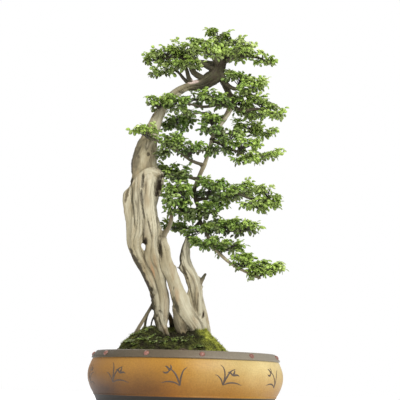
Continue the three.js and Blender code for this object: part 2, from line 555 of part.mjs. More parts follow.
// A closed body from a top point through rings, each a function of the angle, down to a bottom point.
function ringsSolid(top, rings, bottom, sides) {
  const positions = [...top, ...bottom];
  const index = [];
  for (const ring of rings) {
    for (let j = 0; j < sides; j++) positions.push(...ring((j / sides) * 2 * Math.PI));
  }
  const at = (ring, j) => 2 + ring * sides + (j % sides);
  const lowest = rings.length - 1;
  for (let j = 0; j < sides; j++) {
    index.push(0, at(0, j), at(0, j + 1), 1, at(lowest, j + 1), at(lowest, j));
    for (let i = 0; i < lowest; i++) {
      index.push(at(i, j), at(i + 1, j), at(i + 1, j + 1), at(i, j), at(i + 1, j + 1), at(i, j + 1));
    }
  }
  return solidOf(geometryOf(positions, index));
}

// The soil fills the pot to just below its rim and rises to the mound. Raise lifts it to cut the moss to it.
function soilSolid(raise = 0) {
  const lift = (x, y) => [x, y, groundHeight(x, y) + raise];
  const mound = [0.3, 0.6, 1].map((share) => (angle) => lift(...moundPoint(share, angle)));
  const insidePot = Math.cos(Math.PI / POT_SIDES);
  const wall = (radius, z) => (angle) => {
    const reach = radius * insidePot - WALL_GAP;
    return [reach * Math.cos(angle), reach * Math.sin(angle), z];
  };
  const rings = [
    ...mound,
    wall(RIM_INNER, SOIL_EDGE + raise),
    wall(240, 84),
    wall(226, 26),
    wall(215, SOIL_FLOOR),
  ];
  return ringsSolid(lift(MOUND.x, MOUND.y), rings, [0, 0, SOIL_FLOOR], SOIL_SIDES);
}

// A blanket of moss over the mound, with an uneven top and a wavy edge.
function mossSolid() {
  const draw = drawFrom(77);
  const edge = (angle) => {
    const wave = 0.05 * Math.cos(3 * angle + 0.6) + 0.03 * Math.cos(7 * angle);
    return moundPoint(0.93 + wave, angle);
  };
  const topped = (x, y) => {
    const thickness = MOSS_THICKNESS * (1.05 - 0.6 * moundShare(x, y) ** 2) + 5 * (draw() - 0.5);
    return [x, y, groundHeight(x, y) + thickness];
  };
  const rings = [
    (angle) => topped(...moundPoint(0.36, angle)),
    (angle) => topped(...moundPoint(0.68, angle)),
    (angle) => topped(...edge(angle)),
    (angle) => [...edge(angle), SOIL_EDGE - MOSS_DEPTH],
  ];
  const bottom = [MOUND.x, MOUND.y, SOIL_EDGE - MOSS_DEPTH];
  const blanket = ringsSolid(topped(MOUND.x, MOUND.y), rings, bottom, MOSS_SIDES);
  return blanket.subtract(soilSolid(SEAT_GAP));
}

// The whole object
const bonsai = new THREE.Group();
bonsai.name = 'hupeh_ash_bonsai';
const tree = treeSolid();
const treeRoom = treeSolid(SEAT_GAP);
let soil = soilSolid().subtract(treeRoom);
bonsai.add(meshOf('pot', potSolid(), materials.pot));
drainPlaces.forEach(([x, y], i) => {
  bonsai.add(meshOf(`drain_net_${i + 1}`, netSolid([x, y]), materials.net));
  soil = soil.subtract(boxSolid(NET.side + 1, 2 * (NET.thickness + 2 * NET.lift), x, y, FLOOR_TOP));
});
bonsai.add(meshOf('soil', largestOf(soil), materials.soil));
bonsai.add(meshOf('moss', largestOf(mossSolid().subtract(treeRoom)), materials.moss));
bonsai.add(meshOf('tree_wood', tree, materials.wood));
for (const [name, solid] of Object.entries(spraySolids(treeRoom))) {
  bonsai.add(meshOf(`spray_${name}`, solid, materials.foliage));
}

export default bonsai;
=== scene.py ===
import math

import bpy
import numpy as np
from mathutils import Matrix, Vector


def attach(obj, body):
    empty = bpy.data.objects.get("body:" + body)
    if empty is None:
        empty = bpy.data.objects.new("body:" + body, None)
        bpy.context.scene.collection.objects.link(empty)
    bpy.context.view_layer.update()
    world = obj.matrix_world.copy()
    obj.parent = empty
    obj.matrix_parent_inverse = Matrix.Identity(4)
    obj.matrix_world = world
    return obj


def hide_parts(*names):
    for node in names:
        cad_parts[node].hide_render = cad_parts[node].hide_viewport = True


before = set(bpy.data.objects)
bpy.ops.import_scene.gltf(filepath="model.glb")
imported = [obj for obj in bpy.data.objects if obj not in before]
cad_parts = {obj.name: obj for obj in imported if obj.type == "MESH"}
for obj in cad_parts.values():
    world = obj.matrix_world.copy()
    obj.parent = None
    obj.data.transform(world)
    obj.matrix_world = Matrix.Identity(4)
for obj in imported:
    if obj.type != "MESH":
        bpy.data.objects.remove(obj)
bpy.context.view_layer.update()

MM = 0.001
TAU = 2 * math.pi

# The trunk's flowing strands, from the shoulder down to the roots. Each knot is [x, y, z, radius].
TRUNK = {
    "left_edge": [[-142, 0, 642, 12], [-148, -2, 613, 11.5], [-177, -4, 586, 17.5],
        [-172, -6, 543, 18.5], [-165, -6, 505, 18.5], [-162, -4, 464, 18.5], [-153, -2, 429, 17.5],
        [-134, 0, 398, 17.5], [-114, 0, 367, 16.5], [-103, 2, 340, 15.5], [-90, 2, 310, 14],
        [-85, 2, 280, 13], [-78, 2, 249, 12], [-74, 2, 228, 8]],
    "centre_left": [[-138, -14, 640, 14], [-145, -21, 608, 18], [-143, -24, 566, 20.5],
        [-139, -22, 522, 20], [-142, -19, 484, 18], [-147, -15, 449, 15], [-138, -12, 414, 17],
        [-116, -10, 379, 16.5], [-102, -10, 349, 15.5], [-88, -9, 316, 14], [-80, -8, 286, 14],
        [-76, -8, 255, 12], [-72, -6, 230, 8]],
    "centre_right": [[-117, -14, 645, 15], [-119, -25, 612, 19.5], [-119, -28, 570, 21.5],
        [-115, -28, 526, 21.5], [-109, -26, 485, 20], [-107, -21, 446, 15.5], [-102, -16, 406, 18.5],
        [-88, -12, 369, 16.5], [-80, -10, 334, 15.5], [-71, -8, 300, 15], [-68, -8, 265, 14],
        [-65, -6, 235, 9]],
    "right_edge": [[-96, 0, 648, 17.5], [-102, 8, 610, 13.5], [-113, 0, 574, 15.5], [-109, -4, 536, 16.5],
        [-99, -6, 500, 17.5], [-98, -4, 458, 15.5], [-97, 0, 422, 14.5], [-88, 2, 389, 14.5],
        [-82, 4, 357, 14.5], [-74, 4, 322, 13], [-64, 4, 288, 13], [-63, 4, 246, 11]],
    "hood": [[-160, -2, 590, 12], [-154, -9, 616, 14.5], [-140, -15, 638, 16], [-119, -17, 646, 17],
        [-101, -11, 641, 16.5], [-88, 0, 622, 12], [-88, 6, 592, 8]],
    "core": [[-130, -12, 640, 17], [-133, -16, 560, 20], [-127, -16, 500, 20], [-124, -13, 458, 11]],
    "back_left": [[-144, 16, 652, 14.5], [-156, 20, 599, 19.5], [-147, 24, 510, 19.5], [-154, 16, 451, 14.5],
        [-122, 16, 390, 16.5], [-96, 14, 330, 14], [-76, 8, 238, 8]],
    "back_right": [[-113, 22, 652, 15.5], [-121, 27, 575, 19.5], [-110, 26, 505, 19.5], [-102, 20, 435, 16.5],
        [-85, 15, 355, 14.5], [-71, 12, 290, 12], [-66, 8, 240, 8]],
    "foot": [[-75, 2, 290, 17], [-72, 1, 250, 18], [-68, -6, 222, 16], [-63, -16, 200, 12],
        [-58, -26, 182, 8], [-55, -32, 166, 5]],
    "upper": [[-123, 8, 568, 27], [-135, 8, 631, 36.5], [-138, 6, 678, 38.5], [-130, 2, 721, 33.5],
        [-120, 0, 753, 26], [-109, 0, 785, 22], [-99, 2, 817, 18.5], [-85, 4, 850, 15.5],
        [-67, 4, 877, 13.5], [-41, 2, 899, 12.5], [-10, 0, 913, 12.5], [24, 0, 920, 18], [52, 0, 938, 24],
        [68, 0, 961, 21], [77, 0, 985, 16.5], [76, 0, 1011, 13], [68, 0, 1037, 6.5], [62, 0, 1053, 4]],
}

# The two other legs, and the knob at the middle one's foot
LEGS = {
    "middle_leg": [[-81, -6, 480, 9], [-66, -10, 432, 16], [-60, -12, 398, 18], [-50, -14, 369, 19],
        [-38, -16, 338, 20], [-26, -18, 305, 22.5], [-15, -18, 271, 22.5], [4, -16, 241, 22.5],
        [24, -12, 213, 20], [38, -8, 176, 12]],
    "right_leg": [[44, 4, 165, 14], [33, 4, 222, 18.5], [25, 4, 261, 23], [20, 2, 296, 23.5],
        [19, 0, 328, 20], [9, -2, 359, 20.5], [-5, -2, 387, 19.5], [-11, 0, 413, 18], [-9, 3, 439, 15],
        [-5, 6, 458, 12.5], [-3, 8, 473, 9]],
    "root_knob": [[-31, -16, 264, 10], [-26, -22, 242, 15], [-20, -26, 220, 17], [-13, -26, 203, 15],
        [-8, -22, 186, 10]],
}

# The dead spurs on the legs, and the roots that reach down to the mound
SPURS = {
    "dead_spur": [[-78, -10, 455, 8], [-68, -12, 478, 8.5], [-58, -14, 495, 8], [-52, -14, 518, 7],
        [-54, -12, 544, 5], [-61, -8, 564, 2.5]],
    "leg_stub": [[24, 0, 325, 9], [40, -2, 351, 7.5], [48, -2, 365, 5.5]],
    "leg_thorn": [[-5, -2, 375, 4], [-23, -4, 380, 3], [-32, -4, 383, 2]],
    "right_root": [[34, 14, 318, 6], [41, 16, 288, 6.5], [52, 14, 253, 6.5], [60, 10, 211, 7],
        [66, 8, 172, 5]],
    "left_root": [[-86, 4, 296, 7], [-106, 0, 261, 6], [-128, -8, 221, 6.5], [-149, -16, 182, 7],
        [-163, -20, 158, 4.5]],
    "left_root_back": [[-88, 14, 290, 6], [-110, 24, 255, 4.5], [-118, 30, 221, 4.5], [-118, 34, 176, 4]],
    "left_root_thin": [[-82, 18, 261, 5], [-98, 28, 235, 3.5], [-101, 34, 209, 3.5], [-100, 36, 176, 3.5]],
    "front_root": [[-77, -14, 261, 6], [-67, -24, 227, 5.5], [-54, -34, 199, 5.5], [-46, -42, 172, 4.5]],
    "back_root": [[-64, 12, 268, 7], [-51, 18, 252, 7.5], [-44, 26, 236, 8], [-40, 34, 208, 8],
        [-36, 44, 176, 6]],
    "right_root_back": [[36, 14, 249, 9], [44, 34, 221, 8], [56, 52, 191, 7], [62, 62, 162, 5]],
}

# The bough that falls down the right side, and the boughs that carry the layers of foliage
BOUGHS = {
    "fall": [[74, 4, 956, 12.5], [87, 12, 932, 12], [100, 14, 904, 10], [110, 8, 877, 9],
        [104, 4, 842, 9], [87, 0, 812, 8.5], [70, 0, 782, 7.5], [59, 0, 756, 7], [51, -2, 726, 6.5],
        [40, -4, 688, 6.5], [28, -4, 657, 6.5], [18, -2, 631, 6], [10, 0, 604, 6], [16, 0, 576, 6],
        [25, 0, 549, 5.5], [29, -4, 517, 5.5], [46, -10, 486, 5.5], [62, -18, 452, 5.5], [90, -36, 417, 5],
        [126, -60, 386, 4.5], [170, -84, 361, 4], [196, -98, 349, 3.5]],
    "crown_left": [[60, -2, 962, 10], [30, -10, 975, 8], [-6, -14, 989, 6], [-53, -12, 995, 5],
        [-92, -6, 990, 3.5], [-114, -4, 987, 3]],
    "crown_right": [[77, 0, 982, 9.5], [113, 8, 1004, 6.5], [149, 14, 1012, 5.5], [178, 12, 1009, 4],
        [199, 8, 1002, 3]],
    "crown_front": [[68, -2, 975, 8.5], [56, -40, 984, 5.5], [44, -75, 984, 4], [38, -95, 983, 3]],
    "crown_back": [[77, 2, 986, 8.5], [91, 45, 1013, 5.5], [103, 82, 1030, 4], [109, 102, 1037, 3]],
    "crown_back_left": [[64, 2, 982, 7.5], [16, 45, 1003, 5], [-32, 70, 1009, 3.5], [-62, 80, 1008, 3]],
    "left_low_front": [[38, -2, 930, 10], [18, -8, 939, 9.5], [0, -16, 949, 8.5], [-12, -26, 966, 6]],
    "left_low_mid": [[-2, -2, 919, 8], [-14, -5, 936, 7], [-20, -8, 956, 6], [-27, -10, 976, 4],
        [-34, -12, 992, 3]],
    "left_low_back": [[-8, 2, 916, 8.5], [-28, 12, 936, 5.5], [-44, 20, 957, 4.5], [-62, 26, 968, 3.5],
        [-80, 30, 966, 3]],
    "right_upper": [[75, -2, 953, 9.5], [94, -14, 918, 7.5], [120, -26, 899, 6], [147, -36, 909, 4],
        [179, -44, 914, 3]],
    "mid_right": [[107, 4, 857, 7.5], [145, -12, 841, 6], [187, -26, 842, 4.5], [228, -36, 829, 3]],
    "mid_left": [[108, 8, 877, 7.5], [66, -16, 853, 5], [29, -34, 842, 4.5], [-8, -44, 846, 3.5],
        [-43, -48, 851, 3]],
    "mid_back": [[108, 10, 883, 7.5], [84, 45, 889, 4.5], [49, 80, 895, 3.5], [20, 98, 897, 3]],
    "mid_back_right": [[108, 8, 868, 6.5], [137, 40, 857, 4.5], [166, 68, 850, 3.5], [188, 84, 845, 2.5]],
    "centre_left": [[87, 2, 814, 7.5], [56, 22, 833, 5], [30, 36, 843, 4], [-3, 46, 841, 3]],
    "cross": [[36, -4, 677, 6], [-4, -24, 688, 4.5], [-38, -42, 709, 4], [-81, -56, 728, 3.5],
        [-126, -60, 740, 3]],
    "right_mid": [[57, 0, 754, 7], [83, -10, 740, 5], [126, -20, 718, 4.5], [164, -24, 701, 3.5],
        [203, -24, 705, 3]],
    "right_back": [[64, 2, 767, 6.5], [99, 36, 781, 4.5], [145, 62, 794, 3.5], [186, 78, 800, 3]],
    "left_mid": [[22, -2, 637, 5.5], [-8, 12, 645, 4.5], [-41, 24, 659, 3.5], [-68, 30, 668, 3]],
    "left_mid_front": [[10, 0, 603, 5.5], [-13, -18, 596, 4], [-35, -34, 598, 3]],
    "right_low": [[15, 0, 578, 6], [50, -14, 581, 5], [86, -26, 589, 4.5], [129, -36, 593, 4],
        [170, -44, 577, 3.5], [206, -48, 580, 3]],
    "right_low_back": [[14, 2, 589, 5.5], [50, 34, 601, 4], [97, 62, 609, 3.5], [138, 80, 611, 3]],
    "low_left": [[25, 0, 547, 5.5], [-3, -16, 548, 4], [-28, -28, 548, 3]],
    "low_left_back": [[30, -2, 513, 5.5], [6, 18, 499, 4], [-34, 34, 500, 3]],
    "low_right": [[42, -8, 492, 5.5], [83, -24, 487, 4], [122, -40, 484, 3.5], [155, -50, 483, 3]],
    "low_back": [[34, -4, 505, 5], [64, 34, 517, 4], [87, 60, 525, 3]],
}

# Leafy sprays: each stem's points [x, y, z], from the middle of its bough to its tip
SPRAYS = {
    "crown_apex": [[65, 0, 1048], [66, -2, 1065], [65, -2, 1077]],
    "crown_apex_right": [[74, 2, 1024], [94, 6, 1046], [112, 8, 1053]],
    "crown_apex_left": [[72, -2, 1026], [40, -8, 1036], [13, -10, 1041]],
    "crown_left_inner": [[-10, -14, 990], [-30, -22, 1004], [-51, -26, 1013]],
    "crown_left_back": [[-57, 79, 1008], [-74, 86, 1007], [-88, 92, 1005]],
    "crown_left_tip": [[-110, -3, 987], [-114, -5, 986], [-119, -7, 987]],
    "crown_left_mid": [[-68, -10, 994], [-82, -24, 999], [-95, -31, 1000]],
    "crown_right_inner": [[138, 12, 1011], [144, 4, 1020], [148, 0, 1027]],
    "crown_right_tip": [[195, 9, 1003], [200, 7, 1001], [206, 6, 997]],
    "crown_front": [[40, -89, 983], [33, -105, 984], [25, -115, 983]],
    "crown_back": [[108, 98, 1036], [122, 115, 1043], [131, 125, 1046]],
    "crown_front_right": [[78, 0, 987], [109, -40, 1004], [130, -66, 1011]],
    "left_low_front": [[-8, -24, 966], [-18, -38, 962], [-28, -46, 956]],
    "left_low_back": [[-76, 29, 967], [-87, 32, 961], [-94, 34, 957]],
    "right_upper_tip": [[175, -43, 913], [173, -48, 909], [172, -52, 904]],
    "right_upper_inner": [[132, -30, 903], [133, -20, 932], [127, -14, 952]],
    "mid_right_tip": [[224, -36, 830], [229, -38, 824], [232, -41, 816]],
    "mid_right_outer": [[196, -29, 842], [198, -20, 862], [187, -16, 877]],
    "mid_right_inner": [[141, -10, 842], [136, 0, 865], [130, 10, 883]],
    "mid_right_back": [[184, 82, 846], [192, 86, 856], [196, 88, 864]],
    "mid_centre": [[62, -18, 852], [54, -30, 869], [44, -40, 881]],
    "mid_left": [[-39, -47, 851], [-51, -51, 855], [-57, -54, 857]],
    "mid_back": [[24, 95, 897], [7, 105, 903], [-5, 112, 905]],
    "trunk_twig": [[-94, 0, 833], [-98, -18, 847], [-102, -24, 857]],
    "centre_left": [[1, 45, 841], [-32, 44, 826], [-48, 42, 820]],
    "centre": [[68, 0, 780], [58, -24, 776], [58, -34, 782]],
    "cross_left": [[-121, -60, 739], [-128, -61, 751], [-134, -62, 762]],
    "cross_mid": [[-61, -50, 718], [-54, -44, 736], [-50, -40, 750]],
    "cross_right": [[-9, -27, 690], [-4, -34, 710], [4, -38, 729]],
    "right_mid_tip": [[199, -24, 705], [215, -24, 708], [228, -24, 712]],
    "right_mid_outer": [[130, -21, 716], [148, -30, 731], [165, -36, 739]],
    "right_mid_inner": [[98, -14, 733], [108, -4, 760], [118, 4, 781]],
    "right_mid_under": [[164, -24, 701], [158, -32, 692], [150, -38, 686]],
    "right_back": [[182, 76, 799], [204, 82, 797], [218, 86, 795]],
    "left_mid_tip": [[-64, 29, 667], [-74, 34, 669], [-80, 38, 671]],
    "left_mid_inner": [[-20, 17, 651], [-36, 24, 659], [-46, 30, 663]],
    "left_mid_front": [[-31, -31, 598], [-37, -38, 602], [-42, -42, 603]],
    "right_low_inner": [[47, -13, 581], [52, -22, 603], [64, -28, 616]],
    "right_low_mid": [[117, -34, 592], [129, -30, 608], [139, -28, 617]],
    "right_low_tip": [[202, -47, 580], [216, -50, 572], [227, -50, 563]],
    "right_low_under": [[173, -44, 577], [181, -50, 559], [189, -54, 546]],
    "right_low_hanging": [[80, -24, 588], [68, -30, 566], [58, -34, 546]],
    "right_low_back": [[134, 78, 611], [153, 85, 615], [165, 90, 617]],
    "low_left_front": [[-24, -26, 548], [-33, -30, 552], [-40, -34, 557]],
    "low_left_back": [[-30, 33, 500], [-43, 36, 502], [-53, 38, 503]],
    "low_right_inner": [[81, -23, 487], [92, -30, 494], [104, -34, 500]],
    "low_right_tip": [[151, -49, 483], [160, -52, 489], [167, -54, 493]],
    "low_inner": [[44, -9, 490], [30, -16, 485], [19, -20, 478]],
    "low_back": [[83, 56, 524], [96, 64, 521], [106, 70, 518]],
    "low_centre": [[60, -17, 455], [48, -26, 452], [38, -30, 450]],
    "low_bough_inner": [[85, -32, 423], [106, -36, 435], [119, -40, 443]],
    "low_bough_outer": [[140, -68, 376], [147, -70, 395], [148, -74, 410]],
    "low_bough_tip": [[192, -96, 351], [213, -100, 368], [236, -103, 386]],
}

# Second stems of some sprays: which of the first one's points they start from, and two points more
SIDE_STEMS = {
    "mid_right_inner": (1, [149, 4, 850], [160, 8, 839]),
    "mid_left": (1, [-42, -50, 838], [-28, -46, 825]),
    "centre_left": (2, [-52, 40, 806], [-54, 38, 793]),
    "right_upper_tip": (1, [168, -50, 898], [158, -46, 888]),
    "centre": (1, [56, -20, 802], [54, -16, 826]),
    "cross_mid": (1, [-66, -38, 716], [-68, -38, 697]),
    "left_mid_inner": (1, [-40, 12, 648], [-38, -3, 638]),
    "left_mid_front": (1, [-36, -36, 588], [-24, -30, 572]),
    "right_low_inner": (1, [51, -24, 617], [49, -22, 629]),
    "right_low_tip": (1, [214, -42, 590], [207, -38, 606]),
    "low_left_front": (1, [-26, -30, 538], [-12, -26, 527]),
    "low_right_inner": (2, [120, -32, 500], [137, -32, 502]),
    "low_centre": (1, [60, -38, 445], [75, -44, 438]),
    "right_low_hanging": (2, [50, -34, 537], [43, -34, 530]),
    "low_bough_outer": (1, [165, -82, 385], [183, -92, 376]),
    "crown_left_inner": (1, [-21, -26, 1012], [-12, -26, 1019]),
    "low_bough_tip": (1, [205, -94, 364], [190, -88, 361]),
    "mid_centre": (1, [70, -36, 858], [84, -38, 846]),
    "right_low_mid": (0, [100, -38, 578], [83, -40, 568]),
    "right_back": (0, [167, 72, 812], [151, 68, 821]),
    "right_mid_inner": (0, [83, -18, 726], [70, -20, 720]),
}

# Camera and light

# The camera stands low in front of the pot and looks up at the tree, as the photograph does. Its angles are
# degrees, and its focal length is a share of the picture's width.
CAMERA = {"place": (0.0275, -2.9, 0.061), "pitch": 10.096, "roll": 1.5, "focal_share": 1035 / 400}
WHITE = (1, 1, 1)
WORLD_STRENGTH = 0.62
FLOOR_SIZE = 8
LAMPS = {
    "key": {"place": (1.2, -2.0, 2.0), "size": 1.1, "power": 85},
    "fill": {"place": (-1.9, -1.2, 1.1), "size": 1.6, "power": 10},
    "rear": {"place": (-0.6, 2.2, 2.0), "size": 1.6, "power": 34},
}
LIGHT_TARGET = Vector((0, 0, 0.5))

scene = bpy.context.scene
scene.view_settings.view_transform = "Standard"


def place_camera():
    camera = bpy.data.objects.new("camera", bpy.data.cameras.new("camera"))
    camera.data.lens = camera.data.sensor_width * CAMERA["focal_share"]
    tilt = Matrix.Rotation(math.radians(90 + CAMERA["pitch"]), 4, "X")
    roll = Matrix.Rotation(math.radians(CAMERA["roll"]), 4, "Z")
    camera.matrix_world = Matrix.Translation(CAMERA["place"]) @ tilt @ roll
    scene.collection.objects.link(camera)
    scene.camera = camera


def place_lights():
    for name, lamp in LAMPS.items():
        light = bpy.data.lights.new(name, "AREA")
        light.size = lamp["size"]
        light.energy = lamp["power"]
        holder = bpy.data.objects.new(name, light)
        holder.location = lamp["place"]
        holder.rotation_euler = (LIGHT_TARGET - holder.location).to_track_quat("-Z", "Y").to_euler()
        scene.collection.objects.link(holder)
    scene.world = bpy.data.worlds.new("studio")
    scene.world.use_nodes = True
    tree = scene.world.node_tree
    background = tree.nodes["Background"]
    # The camera sees the world fully white, but it lights the tree less
    seen = add(tree, "ShaderNodeLightPath").outputs["Is Camera Ray"]
    feed(tree, background.inputs["Color"], WHITE)
    feed(tree, background.inputs["Strength"], math_of(tree, "MAXIMUM", seen, WORLD_STRENGTH))


# Materials

MOTTLE_ROUGHNESS = 0.6


def feed(tree, socket, value):
    """Sets an input to a value or a colour, or links it to another node's output."""
    if isinstance(value, bpy.types.NodeSocket):
        tree.links.new(value, socket)
    elif socket.type == "RGBA":
        socket.default_value = (*value, 1)
    else:
        socket.default_value = value


def add(tree, kind, settings=None, **inputs):
    """A node of a kind, with its settings and what its inputs are fed."""
    made = tree.nodes.new(kind)
    for key, value in (settings or {}).items():
        setattr(made, key, value)
    for key, value in inputs.items():
        feed(tree, made.inputs[key.replace("_", " ")], value)
    return made


def value_of(tree, name, output="Fac"):
    """What a mesh holds for each of its points under a name: a value, or a vector as the output Vector."""
    return add(tree, "ShaderNodeAttribute", {"attribute_name": name}).outputs[output]


def mottle(tree, scale, detail=4.0, stretch=(1, 1, 1), name=None):
    """Cloudy variation from 0 to 1 over the object's own frame, or over the vector held under a name.

    The scale counts features in a metre, and each axis is scaled by its part of the stretch.
    """
    at = value_of(tree, name, "Vector") if name else add(tree, "ShaderNodeTexCoord").outputs["Object"]
    place = add(tree, "ShaderNodeMapping", Vector=at, Scale=stretch).outputs["Vector"]
    return add(tree, "ShaderNodeTexNoise", Vector=place, Scale=scale, Detail=detail,
               Roughness=MOTTLE_ROUGHNESS).outputs["Fac"]


def ramp(tree, factor, stops):
    """Colours (r, g, b) at places from 0 to 1."""
    made = add(tree, "ShaderNodeValToRGB", Fac=factor)
    elements = made.color_ramp.elements
    while len(elements) < len(stops):
        elements.new(1.0)
    for element, (place, colour) in zip(elements, stops):
        element.position = place
        element.color = (*colour, 1)
    return made.outputs["Color"]


def steps(tree, factor, low, high):
    """0 at low, 1 at high, and smooth between them. Low may be above high."""
    made = add(tree, "ShaderNodeMapRange", {"interpolation_type": "SMOOTHSTEP"}, Value=factor,
               From_Min=low, From_Max=high)
    return made.outputs["Result"]


def math_of(tree, operation, first, second):
    made = add(tree, "ShaderNodeMath", {"operation": operation})
    feed(tree, made.inputs[0], first)
    feed(tree, made.inputs[1], second)
    return made.outputs["Value"]


def times(tree, first, second):
    return math_of(tree, "MULTIPLY", first, second)


def varied(tree, base, factor, amount):
    """The base, changed by up to half the amount either way as the factor goes from 0 to 1."""
    return math_of(tree, "ADD", base, times(tree, math_of(tree, "SUBTRACT", factor, 0.5), amount))


def mixed(tree, factor, first, second, blend="MIX"):
    """The first colour, turned to the second as the factor goes from 0 to 1."""
    made = add(tree, "ShaderNodeMix", {"data_type": "RGBA", "blend_type": blend})
    named = {"Factor_Float": factor, "A_Color": first, "B_Color": second}
    for socket in made.inputs:
        if socket.identifier in named:
            feed(tree, socket, named[socket.identifier])
    return next(socket for socket in made.outputs if socket.identifier == "Result_Color")


def coated(tree, colour, coats):
    """A colour with other colours over it, each as strong as the value that the mesh holds under its name."""
    for name, coat in coats.items():
        colour = mixed(tree, value_of(tree, name), colour, coat)
    return colour


def material(name, paint, roughness, bump, specular=0.5, glow=0.0):
    """A material whose paint function gives its colour and its height, from 0 to 1, for the bump."""
    made = bpy.data.materials.new(name)
    made.use_nodes = True
    tree = made.node_tree
    colour, height = paint(tree)
    relief = add(tree, "ShaderNodeBump", Height=height, Distance=bump, Strength=1.0)
    inputs = {"Base Color": colour, "Normal": relief.outputs["Normal"], "Roughness": roughness,
              "Specular IOR Level": specular, "Emission Color": WHITE, "Emission Strength": glow}
    for key, value in inputs.items():
        feed(tree, tree.nodes["Principled BSDF"].inputs[key], value)
    return made


WOOD_LIGHT = (0.42, 0.385, 0.275)
WOOD_MID = (0.25, 0.213, 0.128)
WOOD_GREY = (0.135, 0.115, 0.07)
WOOD_TAN = (0.23, 0.165, 0.085)
WOOD_BARK = (0.054, 0.046, 0.027)
WOOD_DEEP = (0.045, 0.033, 0.02)
WOOD_STAIN = (0.30, 0.15, 0.06)
BARK_OLIVE = (0.056, 0.060, 0.024)
# A pale pink for the healed cut, with a painted highlight
SCAR_HIGHLIGHT_PINK = (0.68, 0.53, 0.47)
# How strongly tan patches, olive patches and fine cracks show
TAN_PATCHES = 0.6
OLIVE_PATCHES = 0.6
FINE_CRACKS = 0.45


def wood_paint(tree):
    """Bark to bleached wood by tone, which also holds painted light and shade, streaked along the grain, with
    fine cracks, rusty stains, a pink scar with a painted highlight, and a dark coat of painted shade and
    bark.
    """
    streaks = mottle(tree, 330, stretch=(1, 1, 0.07), name="grain")
    tone = varied(tree, value_of(tree, "tone"), streaks, 0.34)
    tone = varied(tree, tone, mottle(tree, 26), 0.42)
    colour = ramp(tree, tone, [(0.0, WOOD_DEEP), (0.15, WOOD_BARK), (0.42, WOOD_GREY), (0.66, WOOD_MID),
                               (0.92, WOOD_LIGHT)])
    tan = steps(tree, mottle(tree, 34, 3.0, (1, 1, 0.3)), 0.5, 0.72)
    pale = steps(tree, tone, 0.2, 0.5)
    colour = mixed(tree, times(tree, times(tree, tan, pale), TAN_PATCHES), colour, WOOD_TAN)
    olive = steps(tree, mottle(tree, 60, 3.0), 0.45, 0.7)
    dark = math_of(tree, "SUBTRACT", OLIVE_PATCHES, times(tree, pale, OLIVE_PATCHES))
    colour = mixed(tree, times(tree, olive, dark), colour, BARK_OLIVE)
    colour = coated(tree, colour, {"stain": WOOD_STAIN, "scar": SCAR_HIGHLIGHT_PINK})
    cracks = steps(tree, mottle(tree, 190, 2.0, (1, 1, 0.05), "grain"), 0.36, 0.28)
    colour = mixed(tree, times(tree, cracks, FINE_CRACKS), colour, WOOD_GREY)
    return coated(tree, colour, {"groove": WOOD_DEEP}), streaks


# Leaf colours by tone, from leaves in painted shade to leaves in painted light
LEAF_STOPS = [(0.0, (0.066, 0.064, 0.038)), (0.25, (0.150, 0.183, 0.052)), (0.5, (0.240, 0.350, 0.058)),
              (0.75, (0.37, 0.50, 0.095)), (1.0, (0.56, 0.64, 0.27))]
LEAF_GREY = (0.30, 0.35, 0.15)
# A deeper green, strongest inside the foliage, where it also stands for painted shade
LEAF_DEEP = (0.095, 0.200, 0.030)
TWIG_COLOUR = (0.04, 0.032, 0.024)
# How strongly dull patches show
DULL_PATCHES = 0.35


def leaf_paint(tree):
    """Dark to fresh green by tone, which holds painted shade and light, deeper green inside the foliage, each
    leaf a little uneven, and brown where the mesh is a twig.
    """
    tone = varied(tree, value_of(tree, "tone"), mottle(tree, 160, 3.0), 0.35)
    dull = steps(tree, mottle(tree, 24, 2.0), 0.5, 0.7)
    colour = mixed(tree, times(tree, dull, DULL_PATCHES), ramp(tree, tone, LEAF_STOPS), LEAF_GREY)
    return coated(tree, colour, {"deep": LEAF_DEEP, "twig": TWIG_COLOUR}), mottle(tree, 900, 2.0)


# The clay's colours near the rim and near the foot, from the left to the right: darker on the left and paler
# on the right with painted shade and light, and darker near the foot with painted shade
CLAY_HIGH = [(0.0, (0.30, 0.145, 0.035)), (0.45, (0.36, 0.175, 0.014)), (0.85, (0.425, 0.305, 0.112)),
             (1.0, (0.56, 0.44, 0.20))]
CLAY_LOW = [(0.0, (0.05, 0.018, 0.002)), (0.45, (0.215, 0.080, 0.004)), (1.0, (0.32, 0.155, 0.015))]
# The band's greys from the left to the right, painted shade to painted light
BAND_GREYS = [(0.0, (0.055, 0.042, 0.022)), (0.5, (0.13, 0.10, 0.065)), (1.0, (0.21, 0.185, 0.14))]
FOOT_BROWN = (0.014, 0.011, 0.007)
CLAY_INSIDE = (0.20, 0.12, 0.06)
CLAY_SPECKS = [(0.3, (0.75, 0.75, 0.75)), (0.7, WHITE)]


def clay_paint(tree):
    """Ochre clay with painted light and shade: brown on the left to gold on the right, darker towards the
    foot, with a band grey-brown to pale from the left to the right and a dark foot.
    """
    place = add(tree, "ShaderNodeSeparateXYZ", Vector=add(tree, "ShaderNodeTexCoord").outputs["Object"])
    clouds = mottle(tree, 7, 5.0)
    # Painted light from the right, painted shade on the left
    side = varied(tree, steps(tree, place.outputs["X"], -0.3, 0.3), clouds, 0.5)
    # Painted shade towards the foot
    high = varied(tree, steps(tree, place.outputs["Z"], 0.03, 0.125), clouds, 0.4)
    colour = mixed(tree, high, ramp(tree, side, CLAY_LOW), ramp(tree, side, CLAY_HIGH))
    # Painted light on the band too, dark on the left and pale on the right
    greys = ramp(tree, side, BAND_GREYS)
    colour = coated(tree, colour, {"band": greys, "foot": FOOT_BROWN, "inside": CLAY_INSIDE})
    fine = mottle(tree, 260, 5.0)
    return mixed(tree, 1.0, colour, ramp(tree, fine, CLAY_SPECKS), "MULTIPLY"), fine


